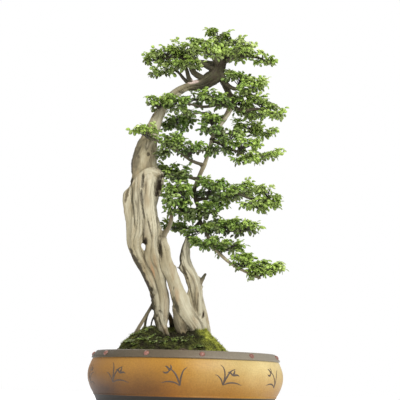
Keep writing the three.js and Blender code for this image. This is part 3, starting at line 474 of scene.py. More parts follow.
def plain_paint(dark, light, scale):
    """A paint that mottles two colours."""
    def paint(tree):
        colour = ramp(tree, mottle(tree, scale, 6.0), [(0.3, dark), (0.7, light)])
        return colour, mottle(tree, 3 * scale, 3.0)
    return paint


MOSS_STOPS = [(0.0, (0.02, 0.014, 0.008)), (0.2, (0.03, 0.03, 0.01)), (0.45, (0.075, 0.085, 0.02)),
              (0.7, (0.17, 0.18, 0.03)), (0.88, (0.32, 0.34, 0.045)), (1.0, (0.46, 0.48, 0.10))]


def moss_paint(tree):
    fine = mottle(tree, 700, 3.0)
    tone = varied(tree, value_of(tree, "tone"), mottle(tree, 120, 5.0), 0.55)
    return ramp(tree, varied(tree, tone, fine, 0.3), MOSS_STOPS), fine


# Shapes

# Factors and shifts that turn whole-numbered places into numbers without a pattern, of 32 bits
CELL_FACTORS = [73856093, 19349663, 83492791]
SCRAMBLES = ((15, 2246822519), (13, 3266489917))
LOW_BITS = 0xFFFFFFFF
# How far apart the noises of two seeds are read
SEED_STEP = 31.7
# The shares of coarse, middle and fine noise, and the size of each for its share
NOISE_SHARES = (0.57, 0.29, 0.14)
NOISE_SIZE = 1.6
# How far round a limb's end its samples lie, in radians
CAP_TURNS = [[0.5], [1.0], [1.4]]
# The waves of a limb's flutes: share of the depth, count round the limb, turn for its phase, and twist
FLUTES = ((0.6, 3, 1, 0.05), (0.4, 5, -2, -0.08))


def hashed(cell):
    """A repeatable value from 0 to 1 for each whole-numbered place."""
    bits = (cell * CELL_FACTORS).sum(axis=1) & LOW_BITS
    for shift, factor in SCRAMBLES:
        bits = (bits ^ (bits >> shift)) * factor & LOW_BITS
    return (bits ^ (bits >> 16)) / 2**32


def noise(points, size, seed):
    """Smooth noise from -1 to 1, its features about size across. The size may differ along each axis."""
    at = np.asarray(points, float) / size + SEED_STEP * (seed + 1)
    cell = np.floor(at).astype(np.int64)
    part = at - cell
    part = part * part * (3 - 2 * part)
    total = np.zeros(len(at))
    for corner in np.ndindex(2, 2, 2):
        total += np.prod(np.where(corner, part, 1 - part), axis=1) * hashed(cell + np.array(corner))
    return 2 * total - 1


def layered(points, size, seed):
    """Noise with finer noise upon it."""
    size = np.asarray(size, float)
    return sum(share * noise(points, size * share * NOISE_SIZE, seed + i)
               for i, share in enumerate(NOISE_SHARES))


def eased(value, low, high):
    """0 at low, 1 at high, and smooth between them. Low may be above high."""
    share = np.clip((value - low) / (high - low), 0, 1)
    return share * share * (3 - 2 * share)


def unit(vectors):
    return vectors / np.maximum(np.linalg.norm(vectors, axis=-1, keepdims=True), 1e-12)


def spline(knots, spacing):
    """Samples about spacing apart along a smooth curve through knots in millimetres."""
    knots = np.array(knots, float) * MM
    ends = np.vstack([2 * knots[0] - knots[1], knots, 2 * knots[-1] - knots[-2]])
    samples = []
    for before, start, end, after in zip(ends, ends[1:], ends[2:], ends[3:]):
        count = max(2, round(np.linalg.norm((end - start)[:3]) / spacing))
        t = (np.arange(count) / count)[:, None]
        samples.append((2 * t**3 - 3 * t**2 + 1) * start + (3 * t**2 - 2 * t**3) * end
                       + (t**3 - 2 * t**2 + t) * (end - before) / 2 + (t**3 - t**2) * (after - start) / 2)
    return np.vstack([*samples, knots[-1:]])


def rounded(line):
    """The line [x, y, z, radius] with a round cap's samples at each end."""
    turn = np.array(CAP_TURNS)
    caps = []
    for end, inner in ((line[0], line[1]), (line[-1], line[-2])):
        out = unit((end - inner)[:3])
        caps.append(np.hstack([end[:3] + out * end[3] * np.sin(turn), end[3] * np.cos(turn)]))
    return np.vstack([caps[0][::-1], line, caps[1]])


def frames_along(centres):
    """The direction of a line at each of its points, and two directions across it that turn with it."""
    ahead = unit(np.gradient(centres, axis=0))
    across = np.zeros_like(ahead)
    side = np.array([0.1, -1.0, 0.0])
    for i, way in enumerate(ahead):
        side = side - side.dot(way) * way
        side = side / np.linalg.norm(side)
        across[i] = side
    return ahead, across, np.cross(ahead, across)


def tube(line, sides, depth=0.0, phase=0.0):
    """The points and triangles of a closed tube round a line [x, y, z, radius], fluted to a depth."""
    _, across, up = frames_along(line[:, :3])
    angles = np.arange(sides) * TAU / sides
    rows = np.arange(len(line))[:, None]
    waves = sum(share * np.sin(count * angles + turn * phase + twist * rows)
                for share, count, turn, twist in FLUTES)
    radii = line[:, 3:] * (1 + depth * waves)
    ways = np.cos(angles)[:, None] * across[:, None] + np.sin(angles)[:, None] * up[:, None]
    points = (line[:, None, :3] + radii[..., None] * ways).reshape(-1, 3)
    return np.vstack([points, line[0, :3], line[-1, :3]]), tube_faces(len(line), sides)


def tube_faces(rings, sides):
    """Triangles between rings of points, closed by the two points that follow them."""
    here = np.arange(sides)
    after = (here + 1) % sides
    row = np.arange(rings - 1)[:, None] * sides
    corner, beside = (row + here).ravel(), (row + after).ravel()
    first, last = rings * sides, rings * sides + 1
    ends = (rings - 1) * sides
    return np.vstack([
        np.column_stack([corner, beside, corner + sides]),
        np.column_stack([beside, beside + sides, corner + sides]),
        np.column_stack([np.full(sides, first), after, here]),
        np.column_stack([np.full(sides, last), ends + here, ends + after]),
    ])


def merged(parts):
    """One set of points and faces from many."""
    points, faces = zip(*parts)
    starts = np.cumsum([0] + [len(rows) for rows in points[:-1]])
    return np.vstack(points), np.vstack([rows + start for rows, start in zip(faces, starts)])


def mesh_of(name, points, faces):
    mesh = bpy.data.meshes.new(name)
    mesh.from_pydata(points.tolist(), [], faces.tolist())
    mesh.validate()
    return mesh


def piece(name, points, faces, look, slot, nodes, **values):
    """A smooth piece of the object that stands for CAD nodes, with values for each of its points."""
    mesh = mesh_of(name, points, faces)
    for key, held in values.items():
        kind, field = ("FLOAT_VECTOR", "vector") if held.ndim == 2 else ("FLOAT", "value")
        mesh.attributes.new(key, kind, "POINT").data.foreach_set(field, held.astype(np.float32).ravel())
    mesh.shade_smooth()
    mesh.materials.append(look)
    made = bpy.data.objects.new(name, mesh)
    scene.collection.objects.link(made)
    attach(made, "root")
    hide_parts(*nodes)
    return made


def fused(points, faces, voxel, smoothing):
    """The closed shells as one skin of even four-sided faces, its creases softened."""
    holder = bpy.data.objects.new("fused", mesh_of("fused", points, faces))
    scene.collection.objects.link(holder)
    skin = holder.modifiers.new("skin", "REMESH")
    skin.mode = "VOXEL"
    skin.voxel_size = voxel
    soft = holder.modifiers.new("soft", "SMOOTH")
    soft.iterations = smoothing
    mesh = bpy.data.meshes.new_from_object(holder.evaluated_get(bpy.context.evaluated_depsgraph_get()))
    count = len(mesh.vertices)
    points, normals = np.empty(count * 3), np.empty(count * 3)
    mesh.vertices.foreach_get("co", points)
    mesh.vertices.foreach_get("normal", normals)
    corners = np.empty(len(mesh.loops), np.int64)
    mesh.loops.foreach_get("vertex_index", corners)
    bpy.data.objects.remove(holder)
    return points.reshape(-1, 3), normals.reshape(-1, 3), corners.reshape(-1, 4)


# Wood

SAMPLE_SPACING = 0.004
TRUNK_VOXEL = 0.0021
BOUGH_VOXEL = 0.0016
LIMB_SIDES = 20
FLUTE_DEPTH = 0.12
# How many points are compared with all samples at a time
CHUNK = 4000
# How far apart the grain of one limb and the next is read
LIMB_STEP = [0.17, 0.09, 0.31]
# How much darker the side that faces away is, where the living bark runs
BARK_BEHIND = 0.7
# How far the darkening comes round the left-facing side, and how uneven the edge of the bark and that
# darkening is
DARK_LEFT_REACH = 0.75
BARK_EDGE = 0.35
# How far the bark is kept off the right-facing side, and how much paler painted light makes that side
PAINTED_LIGHT_REACH = 0.45
PAINTED_LIGHT_RIGHT = 0.5
# Features that follow the grain: their size across and along it, and their seed
GRAIN = {"ridge": (0.011, 0.13, 1), "fibre": (0.004, 0.05, 2), "stain": (0.007, 0.07, 5),
         "bark_edge": (0.02, 0.1, 6), "valley": (0.021, 0.17, 8)}
# Depths of the relief on limbs of the full radius, or heights for swell and bark
FULL_RADIUS = 0.014
DEPTHS = {"ridge": 0.0016, "crack": 0.002, "fibre": 0.0008, "swell": 0.0018, "valley": 0.0028,
          "bark": 0.0022}
# How much the creases between limbs are filled, how wide the filling and its seam of painted shade are, and
# from which radius of a limb they are filled in full
SEAM_FILL = 0.0042
FILL_WIDTH = 0.011
SEAM_WIDTH = 0.004
FILL_RADIUS = 0.013
# How much painted shade darkens valleys, cracks and the seams between limbs, and how dark the strips of bark
# and painted shade are
VALLEY_DARK = 0.26
CRACK_DARK = 0.36
SEAM_DARK = 0.2
STRIP_DARK = 0.45
# How ragged the edges of hollows are, and the depth in millimetres from which a hollow is fully dark with
# painted shade
RAGGED = 0.35
DARK_DEPTH = 13

# How pale a limb is, from its start to its end: 0 is dark bark and 1 is bleached wood
SHADES = {
    "left_edge": [0.85, 0.8, 0.75, 0.8, 0.7, 0.75], "centre_left": [0.9, 0.82, 0.76, 0.66, 0.76, 0.8],
    "centre_right": [0.9, 0.86, 0.76, 0.56, 0.58, 0.85], "right_edge": [0.7, 0.65, 0.6, 0.5, 0.55, 0.8],
    "back_left": [0.7, 0.65, 0.6], "back_right": [0.6, 0.55, 0.6], "foot": [0.95, 0.9, 0.7],
    "hood": [0.75, 0.84, 0.86, 0.84, 0.75], "core": [0.8, 0.7, 0.6],
    "upper": [0.7, 0.58, 0.62, 0.74, 0.84, 0.8, 0.3, -0.2, -0.15],
    "middle_leg": [0.72, 0.68, 0.7, 0.74, 0.8, 0.86], "right_leg": [0.9, 0.8, 0.7, 0.8, 1.0, 1.1],
    "root_knob": [0.45], "dead_spur": [0.8, 0.75, 0.55, 0.4], "leg_stub": [0.7, 0.6, 0.2],
    "leg_thorn": [0.6, 0.4], "right_root": [0.8, 0.75], "left_root": [0.35, 0.6, 0.75],
    "left_root_back": [0.2], "left_root_thin": [0.2], "front_root": [0.8, 0.7], "back_root": [0.3, 0.12, 0.1],
    "right_root_back": [0.7],
    "fall": [0.0, 0.2, 0.5, 0.8, 0.85, 0.7, 0.35, 0.15, 0.15, 0.35, 0.65, 0.75, 0.7, 0.5],
}
BOUGH_SHADE = [0.2, 0.16, 0.12]

# Hollows and cracks, darkened with painted shade by their depth: x, z, half width, half height, how far they
# lean sideways for each unit up, depth, and the side they open to, -1 at the front
HOLLOWS = [
    (-91, 619, 11, 30, 0.03, 20, -1), (-96, 592, 8, 15, 0.3, 14, -1), (-84, 640, 5, 8, 0.4, 10, -1),
    (-136, 622, 5, 34, 0.05, 10, -1), (-137, 572, 5.5, 34, -0.1, 10, -1), (-131, 532, 4, 28, -0.25, 7, -1),
    (-123, 452, 8, 12, -0.2, 14, -1), (45, 254, 4, 16, 0.1, 14, -1), (-156, 520, 3, 50, -0.1, 5, -1),
    (-112, 490, 3, 42, -0.25, 6, -1), (-79, 430, 5, 46, -0.1, 9, -1), (-97, 306, 5, 20, -0.2, 6, -1),
    (-40, 320, 3, 8, 0.1, 4, -1), (-17, 425, 3, 26, -0.3, 6, -1), (12, 300, 3, 44, -0.25, 5, -1),
    (28, 290, 3, 36, 0.05, 5, -1), (-123, 701, 6, 7.5, 0.0, 8, -1), (-152, 692, 5, 7, 0.2, 4, -1),
    (-32, 892, 13, 4, 0.5, 7, -1), (-4, 902, 17, 4, 0.5, 8, -1), (26, 906, 15, 4.5, 0.5, 8, -1),
    (-118, 560, 8, 34, -0.05, 12, 1), (-140, 640, 4, 30, 0.1, 7, 1), (-112, 430, 5, 28, -0.3, 8, 1),
    (-20, 290, 5, 26, -0.4, 6, 1), (20, 340, 4, 30, 0.1, 6, 1),
]
# Dark strips on the wood's front, bark in most places and painted shade below the knob on the left edge and
# in gaps near the legs' feet: x, z, half width, half height, lean and strength
BARK_AND_SHADE_STRIPS = [
    (-144, 390, 8, 50, -0.58, 0.85), (-114, 330, 10, 36, -0.5, 1.0), (-98, 274, 10, 46, -0.15, 0.8),
    (-90, 226, 10, 26, -0.15, 0.6), (-31, 272, 7, 34, -0.3, 0.6), (-24, 408, 6, 34, 0.05, 0.7),
    (-11, 374, 5, 24, -0.4, 0.6), (-84, 545, 7, 40, -0.2, 0.3), (-156, 690, 12, 40, 0.0, 0.3),
    (-55, 200, 12, 20, 0.2, 0.35), (-8, 215, 12, 16, 0.0, 0.35), (-95, 640, 20, 8, 0.0, 0.2),
    (-180, 582, 5, 20, 0.2, 0.6),
]
# Rusty stains: x, z, half width, half height, lean and strength
STAINS = [
    (-97, 370, 14, 56, 0, 0.55), (-62, 205, 14, 22, 0, 0.5), (-50, 300, 10, 50, 0, 0.4),
    (-30, 300, 12, 40, 0, 0.35), (-45, 240, 10, 20, 0, 0.45), (-105, 400, 14, 30, 0, 0.15),
    (22, 230, 14, 20, 0, 0.25), (-60, 450, 10, 22, 0, 0.25), (-112, 460, 18, 50, 0, 0.35),
]
# The healed cut on top of the arch, pale pink with a painted highlight where it faces up: x, z, half width,
# half height and lean
SCAR_HIGHLIGHT = (-2, 922, 21, 9, 0.0)
# Where the hood's cap and the middle leg are worn smooth, and how much of their relief that takes
SMOOTH = [(-121, 638, 48, 30, 0.0), (-34, 320, 36, 130, -0.38)]
SMOOTHED = 0.75
# The share of an oval that is its full core
OVAL_CORE = 0.6


def flat_of(points):
    """Places as the front shows them: across and up, in millimetres."""
    return points[:, 0] / MM, points[:, 2] / MM


def oval_share(flat, x, z, wide, tall, lean):
    """How far out each place lies in a leaning oval: 0 in its middle, 1 at its edge."""
    across, height = flat
    return np.hypot((across - x - lean * (height - z)) / wide, (height - z) / tall)


def in_oval(flat, oval):
    """1 in the core of an oval (x, z, half width, half height, lean), fading to 0 at its edge."""
    return eased(oval_share(flat, *oval), 1.0, OVAL_CORE)


def along_grain(kind, grain, make=layered):
    """Noise of a kind that follows the grain."""
    across, along, seed = GRAIN[kind]
    return make(grain, [across, across, along], seed)


class Limbs:
    """Samples along many limbs, to find which of them each point of a skin belongs to."""

    def __init__(self, limbs):
        self.lines = [spline(knots, SAMPLE_SPACING) for knots in limbs.values()]
        self.starts = np.cumsum([0] + [len(line) for line in self.lines[:-1]])
        self.number = np.repeat(np.arange(len(self.lines)), [len(line) for line in self.lines])
        rows = np.vstack(self.lines)
        self.centre, self.radius = rows[:, :3], rows[:, 3]
        ways = zip(*[frames_along(line[:, :3]) for line in self.lines])
        self.ahead, self.across, self.up = (np.vstack(way) for way in ways)
        far = [np.cumsum([0, *np.linalg.norm(np.diff(line[:, :3], axis=0), axis=1)]) for line in self.lines]
        self.far = np.concatenate(far)
        shades = [SHADES.get(name, BOUGH_SHADE) for name in limbs]
        self.shade = np.concatenate([np.interp(along / along[-1], np.linspace(0, 1, len(shade)), shade)
                                     for along, shade in zip(far, shades)])

    def tubes(self):
        return merged([tube(rounded(line), LIMB_SIDES, FLUTE_DEPTH, i) for i, line in enumerate(self.lines)])

    def grain(self, points, sample):
        """Each point's place across its limb and along it, the limbs set apart."""
        offset = points - self.centre[sample]
        rows = [(offset * way[sample]).sum(axis=1) for way in (self.across, self.up, self.ahead)]
        rows[2] += self.far[sample]
        return np.column_stack(rows) + self.number[sample][:, None] * LIMB_STEP

    def nearest(self, points):
        """The sample whose surface is nearest to each point, and how much further off the next limb's is."""
        found, gaps = [], []
        centre = self.centre.astype(np.float32)
        square = (centre**2).sum(axis=1)
        for chunk in np.array_split(points.astype(np.float32), len(points) // CHUNK + 1):
            away = np.sqrt(np.maximum((chunk**2).sum(axis=1)[:, None] + square - 2 * chunk @ centre.T, 0))
            away -= self.radius.astype(np.float32)
            found.append(away.argmin(axis=1))
            limbs = np.sort(np.minimum.reduceat(away, self.starts, axis=1), axis=1)
            gaps.append(limbs[:, 1] - limbs[:, 0])
        return np.concatenate(found), np.concatenate(gaps)


def shade_of(shade, normals, grain):
    """A limb's shade, darker where the bark runs behind, darker on the left-facing side, and paler on the
    right-facing side with painted light.
    """
    right = np.maximum(normals[:, 0], 0)
    turned_away = normals[:, 1] + DARK_LEFT_REACH * np.maximum(-normals[:, 0], 0) - PAINTED_LIGHT_REACH * right
    behind = eased(turned_away + BARK_EDGE * along_grain("bark_edge", grain), 0.15, 0.6)
    # Painted light makes right-facing sides paler
    return shade * (1 - BARK_BEHIND * behind) * (1 + PAINTED_LIGHT_RIGHT * right)


def sunk_hollows(points, normals, flat, ragged):
    """Sinks the hollows into the points, and gives the painted shade in them, darker in deeper ones."""
    dark = np.zeros(len(points))
    for *oval, deep, side in HOLLOWS:
        away = oval_share(flat, *oval) + ragged
        inside = eased(away, 1.0, 0.4) * eased(side * normals[:, 1], -0.2, 0.3)
        points[:, 1] -= side * deep * MM * inside
        dark = np.maximum(dark, inside * min(1.0, deep / DARK_DEPTH))
    return dark


def with_strips(shade, groove, normals, flat, ragged):
    """The wood's paleness and its dark coat with the dark strips on its front: bark in most places, and
    painted shade below the knob on the left edge and in gaps near the legs' feet.
    """
    for *oval, strength in BARK_AND_SHADE_STRIPS:
        away = oval_share(flat, *oval) + 2 * ragged
        strip = strength * eased(away, 1.1, 0.5) * eased(-normals[:, 1], -0.5, 0.0)
        shade = shade * (1 - strip)
        groove = np.maximum(groove, STRIP_DARK * strip)
    return shade, groove


def stain_of(flat, grain):
    """How rusty each point is, in streaks along the grain."""
    stains = [strength * eased(oval_share(flat, *oval), 1.0, 0.2) for *oval, strength in STAINS]
    return np.max(stains, axis=0) * eased(along_grain("stain", grain), -0.25, 0.35)


def wood(name, limbs, voxel, smoothing, relief):
    """A piece of the tree's wood, carved along its grain."""
    held = Limbs(limbs)
    points, normals, faces = fused(*held.tubes(), voxel, smoothing)
    sample, gap = held.nearest(points)
    radius = held.radius[sample]
    grain = held.grain(points, sample)
    shade = shade_of(held.shade[sample], normals, grain)
    seam = eased(gap, SEAM_WIDTH, 0.0)
    filled = eased(gap, FILL_WIDTH, 0.0) * np.clip(radius / FILL_RADIUS, 0, 1)
    ridge = 1 - np.abs(along_grain("ridge", grain, noise))
    crack = eased(ridge, 0.86, 0.99)
    fibre = along_grain("fibre", grain)
    valley = eased(along_grain("valley", grain, noise), 0.05, -0.6)
    swell = layered(points, 0.03, 3)
    rough = 1 - SMOOTHED * sum(in_oval(flat_of(points), oval) for oval in SMOOTH)
    stout = np.clip(radius / FULL_RADIUS, 0.2, 1.2) * relief
    depth = stout * (DEPTHS["ridge"] * rough * eased(ridge, 0.3, 1.0) + DEPTHS["crack"] * rough * crack
                     + DEPTHS["fibre"] * rough * fibre - DEPTHS["swell"] * swell
                     + DEPTHS["valley"] * rough * valley - SEAM_FILL * filled)
    bark = eased(shade, 0.35, 0.1)
    depth = depth - DEPTHS["bark"] * stout * bark * layered(points, 0.012, 9)
    # Painted shade in the valleys, and in the cracks and the seams between limbs
    shade = shade - VALLEY_DARK * valley * relief * rough
    groove = np.clip(CRACK_DARK * crack + SEAM_DARK * seam, 0, 1) * rough
    points = points - normals * depth[:, None]
    flat = flat_of(points)
    ragged = RAGGED * layered(points, 0.009, 12)
    groove = np.maximum(groove, sunk_hollows(points, normals, flat, ragged))
    shade, groove = with_strips(shade, groove, normals, flat, ragged)
    # The pale pink cut on the arch's top, with a painted highlight only where it faces up
    scar = in_oval(flat, SCAR_HIGHLIGHT) * eased(normals[:, 2], -0.1, 0.35)
    piece(name, points, faces, looks["wood"], "weathered_wood", ["tree_wood"],
          grain=grain, tone=shade, groove=groove, stain=stain_of(flat, grain), scar=scar)


# Leaves

LEAFLET_OUTLINE = [(0, 0), (0.16, 0.6), (0.5, 1), (0.86, 0.74), (1, 0), (0.86, -0.74), (0.5, -1),
                   (0.16, -0.6)]
LEAFLET_RIB = [(0.3, 0), (0.68, 0)]
# The upper side's triangles, their points numbered along the outline and then the rib
LEAFLET_TOP = [(0, 8, 1), (1, 8, 2), (8, 9, 2), (2, 9, 3), (9, 4, 3), (0, 7, 8), (7, 6, 8), (8, 6, 9),
               (6, 5, 9), (9, 5, 4)]
# How much a leaflet is folded up along its rib and arched down, and half its thickness
LEAFLET_FOLD = 0.3
LEAFLET_ARCH = 0.25
HALF_BLADE = 0.0003
# Least and greatest of the leaflets' length, width, angle to the stalk and rise, and of their stray and roll
LEAFLET_LENGTH = (0.0120, 0.0155)
LEAFLET_WIDTH = (0.0096, 0.0120)
LEAFLET_ANGLE = (0.95, 1.3)
LEAFLET_RISE = (-0.5, 0.25)
LEAFLET_STRAY = (-0.15, 0.15)
LEAFLET_ROLL = (-0.6, 0.6)
LEAFLET_TONE = (-0.08, 0.08)
# A leaf's stalk: its length, with more for each pair of leaflets, its sag, its radius, and the shares of its
# length where the first pair stands and over which all pairs are spread
STALK = {"length": 0.007, "more": 0.0055, "sag": 0.18, "radius": 0.00045, "first": 0.34, "spread": 0.56}
# The shares of a stalk's or twig's length where its line is sampled
SHARES = (0, 0.35, 0.7, 1)
LEAF_KINDS = 10
# The turn from one twig or leaf of a rosette to the next
NEXT_TURN = 2.4
TWIGS = 7
TWIG_REACH = (0.016, 0.028)
TWIG_RISE = (-0.45, 0.8)
# The joints of a twig that bear leaves, and how far each of these leaves turns from the twig's way
TWIG_LEAVES = ((1, (1.1,)), (2, (0.9, -0.9)), (3, (0.5, -0.5)))
TWIG_RADII = 0.0011 * np.array([1, 0.9, 0.75, 0.6])
# Twigs that feed the spray from below
FEEDER_RADII = 0.0017 * np.array([1, 0.8, 0.5])
STEM_RADIUS = 0.0017
STEM_TAPER = 0.0003
LEAF_RISE = (-0.8, 0.9)
LEAF_ROLL = (-0.8, 0.8)
LEAF_SIZE = (0.84, 1.08)
# Where the tree's middle lies, how far from it sideways the outer foliage, paler with painted light, starts
# and is full, and by which share its leaves are smaller
CROWN_MIDDLE = 0.03
OUTER_FOLIAGE = (0.06, 0.16)
OUTER_SMALLER = 0.05
# Between these heights the crown gets painted light, and between these places the side toward the light
CROWN_HEIGHT = (0.93, 0.98)
TOWARD_LIGHT = (-0.05, 0.2)
# Tones of the leaves: of a spray's lowest, in painted shade, what painted light adds up to its highest, what
# the place adds as painted light toward the light, outside and in the crown, and the spread from leaf to leaf
LOWEST_TONE = 0.15
RAISED_TONE = 0.52
LIGHT_TONE = 0.08
OUTER_TONE = 0.1
CROWN_TONE = 0.08
TONE_SPREAD = (-0.18, 0.18)
# How much of the deeper green a leaf takes at most, less outside and in the crown, so that it also stands for
# painted shade inside the foliage
DEEP_GREEN = (0, 0.6)


def leaflet(length, width):
    """A thin closed blade from its foot along +X, folded up along its rib and arched down to its tip."""
    def lifted(flat, thickness):
        x, y = (np.array(flat) * [length, width / 2]).T
        return np.column_stack([x, y, LEAFLET_FOLD * np.abs(y) - LEAFLET_ARCH * x**2 / length + thickness])
    edge = len(LEAFLET_OUTLINE)
    points = np.vstack([lifted(LEAFLET_OUTLINE, 0), lifted(LEAFLET_RIB, HALF_BLADE),
                        lifted(LEAFLET_RIB, -HALF_BLADE)])
    top = np.array(LEAFLET_TOP)
    below = np.where(top >= edge, top + len(LEAFLET_RIB), top)[:, ::-1]
    return points, np.vstack([top, below])


def turned(points, at, way, roll, size=1.0):
    """Points moved so that their +X runs along a way and their +Z looks up, rolled and scaled."""
    rib = unit(np.asarray(way, float))
    left = unit(np.cross([0, 0, 1.0], rib))
    face = np.cross(rib, left)
    basis = np.array([rib, math.cos(roll) * left + math.sin(roll) * face,
                      math.cos(roll) * face - math.sin(roll) * left])
    return size * points @ basis + at


def compound_leaf(draw, pairs):
    """A stalk with pairs of leaflets and one at its end: points, faces and each point's change of tone."""
    length = STALK["length"] + STALK["more"] * pairs

    def rib_at(share):
        return np.array([share * length, 0, -STALK["sag"] * length * share**2])

    stalk = tube(np.array([[*rib_at(share), STALK["radius"]] for share in SHARES]), 3)
    parts, tones = [stalk], [np.zeros(len(stalk[0]))]
    spots = [(STALK["first"] + STALK["spread"] * k / pairs, side) for k in range(pairs) for side in (1, -1)]
    spots.append((1, 0))
    for share, side in spots:
        points, faces = leaflet(draw.uniform(*LEAFLET_LENGTH), draw.uniform(*LEAFLET_WIDTH))
        angle = side * draw.uniform(*LEAFLET_ANGLE) + draw.uniform(*LEAFLET_STRAY)
        way = flat_way(angle, draw.uniform(*LEAFLET_RISE))
        parts.append((turned(points, rib_at(share), way, draw.uniform(*LEAFLET_ROLL)), faces))
        tones.append(np.full(len(points), draw.uniform(*LEAFLET_TONE)))
    return *merged(parts), np.concatenate(tones)


def flat_way(angle, rise):
    return np.array([math.cos(angle), math.sin(angle), rise])


def upward(length):
    return np.array([0, 0, length])


def twigs_of(stem, draw):
    """A stem and a flat fan of twigs round it, and the places and ways of their leaves: one or a pair at each
    joint of a twig."""
    line = spline([[*point, (STEM_RADIUS - STEM_TAPER * i) / MM] for i, point in enumerate(stem)], 0.005)
    parts, leaves = [tube(rounded(line), 6)], []
    foot, middle, tip = np.array(stem) * MM
    heading = math.atan2(tip[1] - middle[1], tip[0] - middle[0])
    for k in range(TWIGS):
        turn = NEXT_TURN * k + draw.uniform(-0.3, 0.3)
        forward = math.cos(turn)
        start = middle + (tip - middle) * np.clip(0.3 + 0.6 * forward, -0.3, 0.9)
        way = unit(flat_way(heading + turn, draw.uniform(*TWIG_RISE)))
        reach = draw.uniform(*TWIG_REACH) - 0.002 * forward
        bend = upward(draw.uniform(0.0, 0.005))
        joints = [start + way * reach * share + bend * share**2 for share in SHARES]
        parts.append(tube(np.column_stack([joints, TWIG_RADII]), 4))
        low = foot + (middle - foot) * draw.uniform(0.1, 0.9)
        sag = upward(draw.uniform(-0.006, 0.0))
        under = [low, (low + joints[2]) / 2 + sag, joints[3] + 0.5 * sag]
        parts.append(tube(np.column_stack([under, FEEDER_RADII]), 4))
        for joint, turns in TWIG_LEAVES:
            for change in turns:
                angle = heading + turn + change + draw.uniform(-0.2, 0.2)
                leaves.append((joints[joint], flat_way(angle, draw.uniform(*LEAF_RISE))))
    return parts, leaves


def spray(name, stems, kinds, draw):
    """A spray of foliage on one or two stems."""
    parts, leaves = [], []
    for stem in stems:
        more_parts, more_leaves = twigs_of(stem, draw)
        parts += more_parts
        leaves += more_leaves
    wooden = sum(len(points) for points, _ in parts)
    tones, twigs, deeps = [np.zeros(wooden)], [np.ones(wooden)], [np.zeros(wooden)]
    heights = np.array([at[2] + 0.02 * way[2] for at, way in leaves])
    raised = eased(heights, heights.min(), heights.max())
    for (at, way), lift in zip(leaves, raised):
        points, faces, change = kinds[draw.integers(len(kinds))]
        outer = eased(abs(at[0] - CROWN_MIDDLE), *OUTER_FOLIAGE)
        high = eased(at[2], *CROWN_HEIGHT)
        roll, size = draw.uniform(*LEAF_ROLL), draw.uniform(*LEAF_SIZE) * (1 - OUTER_SMALLER * outer)
        parts.append((turned(points, at, way, roll, size), faces))
        # Painted light: paler toward the light, outside the middle and in the crown
        lit = LIGHT_TONE * eased(at[0], *TOWARD_LIGHT) + OUTER_TONE * outer + CROWN_TONE * high
        # Painted shade on a spray's lowest leaves, painted light on its highest
        tones.append(LOWEST_TONE + RAISED_TONE * lift + lit + draw.uniform(*TONE_SPREAD) + change)
        twigs.append(np.zeros(len(points)))
        # Deeper green inside the foliage, partly painted shade
        deeps.append(np.full(len(points), draw.uniform(*DEEP_GREEN) * (1 - outer) * (1 - high)))
    piece(f"leaves_{name}", *merged(parts), looks["leaf"], "foliage", [f"spray_{name}"],
          tone=np.concatenate(tones), twig=np.concatenate(twigs), deep=np.concatenate(deeps))


# Pot

POT_SIDES = 216
# Radius and height of the outside, from under the foot up to the rim, and of the inside down to the floor
POT_FOOT = [(0, 6), (214, 6), (217, 5), (219.5, 1.2), (222, 0), (234, 0), (236.6, 1.4), (241.5, 10),
            (248.2, 24), (249.6, 27.2)]
POT_BEAD = [(251.4, 28), (252.4, 29.4), (251.8, 31)]
POT_BODY = [(251.6, 31.6), (255.5, 38), (260.6, 47.5), (264.3, 57), (267.2, 66), (268.7, 75), (269, 82),
            (268.4, 91), (266.6, 100), (263.8, 108.5), (260.6, 116.5), (257.7, 122.8), (256.2, 124.4)]
POT_BAND = [(256.4, 125.6), (259.3, 126.4), (260, 127.6), (259.3, 129.6), (255.4, 134.6), (250.4, 141),
            (247.4, 144.6), (246, 145.8), (244.5, 146)]
POT_INSIDE = [(233.6, 146), (232.2, 145.2), (232, 143), (235.5, 118), (240, 84), (238.5, 66), (234, 45),
              (226, 26), (221, 19.5), (216, 18), (0, 18)]
# By which share the hand-turned body is uneven at most
POT_UNEVEN = 0.0006
STUDS = {"count": 11, "first": -80.2, "radius": 7.2, "height": 5.4, "at": (253.8, 136), "lean": 0.63}
DRAINS = {"count": 3, "radius": 11, "circle": 95, "first": 90}
# Brushed sprigs of grass and blossom: each stroke's points (sideways, up) from the sprig's middle, and width
SPRIGS = [
    [((-22, -20), (-14, -2), (-2, 14), (14, 22), 4.2), ((-22, -20), (-18, 4), (-20, 22), (-28, 32), 3.9),
     ((-22, -20), (-6, -14), (14, -14), (34, -20), 3.5), ((-22, -20), (-28, -6), (-38, 4), (-46, 6), 3.1),
     ((4, 4), (8, 10), (10, 16), (9, 20), 4.9), ((4, 4), (12, 6), (19, 6), (24, 3), 4.5),
     ((4, 4), (0, 10), (-5, 13), (-10, 13), 4.2)],
    [((20, -24), (14, -6), (4, 10), (-12, 22), 4.2), ((20, -24), (22, -4), (28, 14), (38, 24), 3.9),
     ((20, -24), (6, -16), (-12, -14), (-30, -18), 3.5), ((-8, 12), (-14, 8), (-20, 8), (-25, 11), 4.5),
     ((-8, 12), (-10, 18), (-15, 23), (-20, 24), 4.5), ((-8, 12), (-4, 18), (-4, 24), (-7, 28), 4.2)],
    [((-4, -26), (-8, -8), (-18, 10), (-34, 18), 4.0), ((-4, -26), (-2, -6), (2, 12), (0, 28), 4.2),
     ((-4, -26), (6, -10), (20, 2), (38, 6), 3.9), ((-4, -26), (8, -20), (22, -20), (34, -24), 3.1),
     ((12, 12), (16, 17), (17, 22), (15, 27), 4.5), ((12, 12), (20, 12), (26, 15), (29, 19), 4.5)],
]
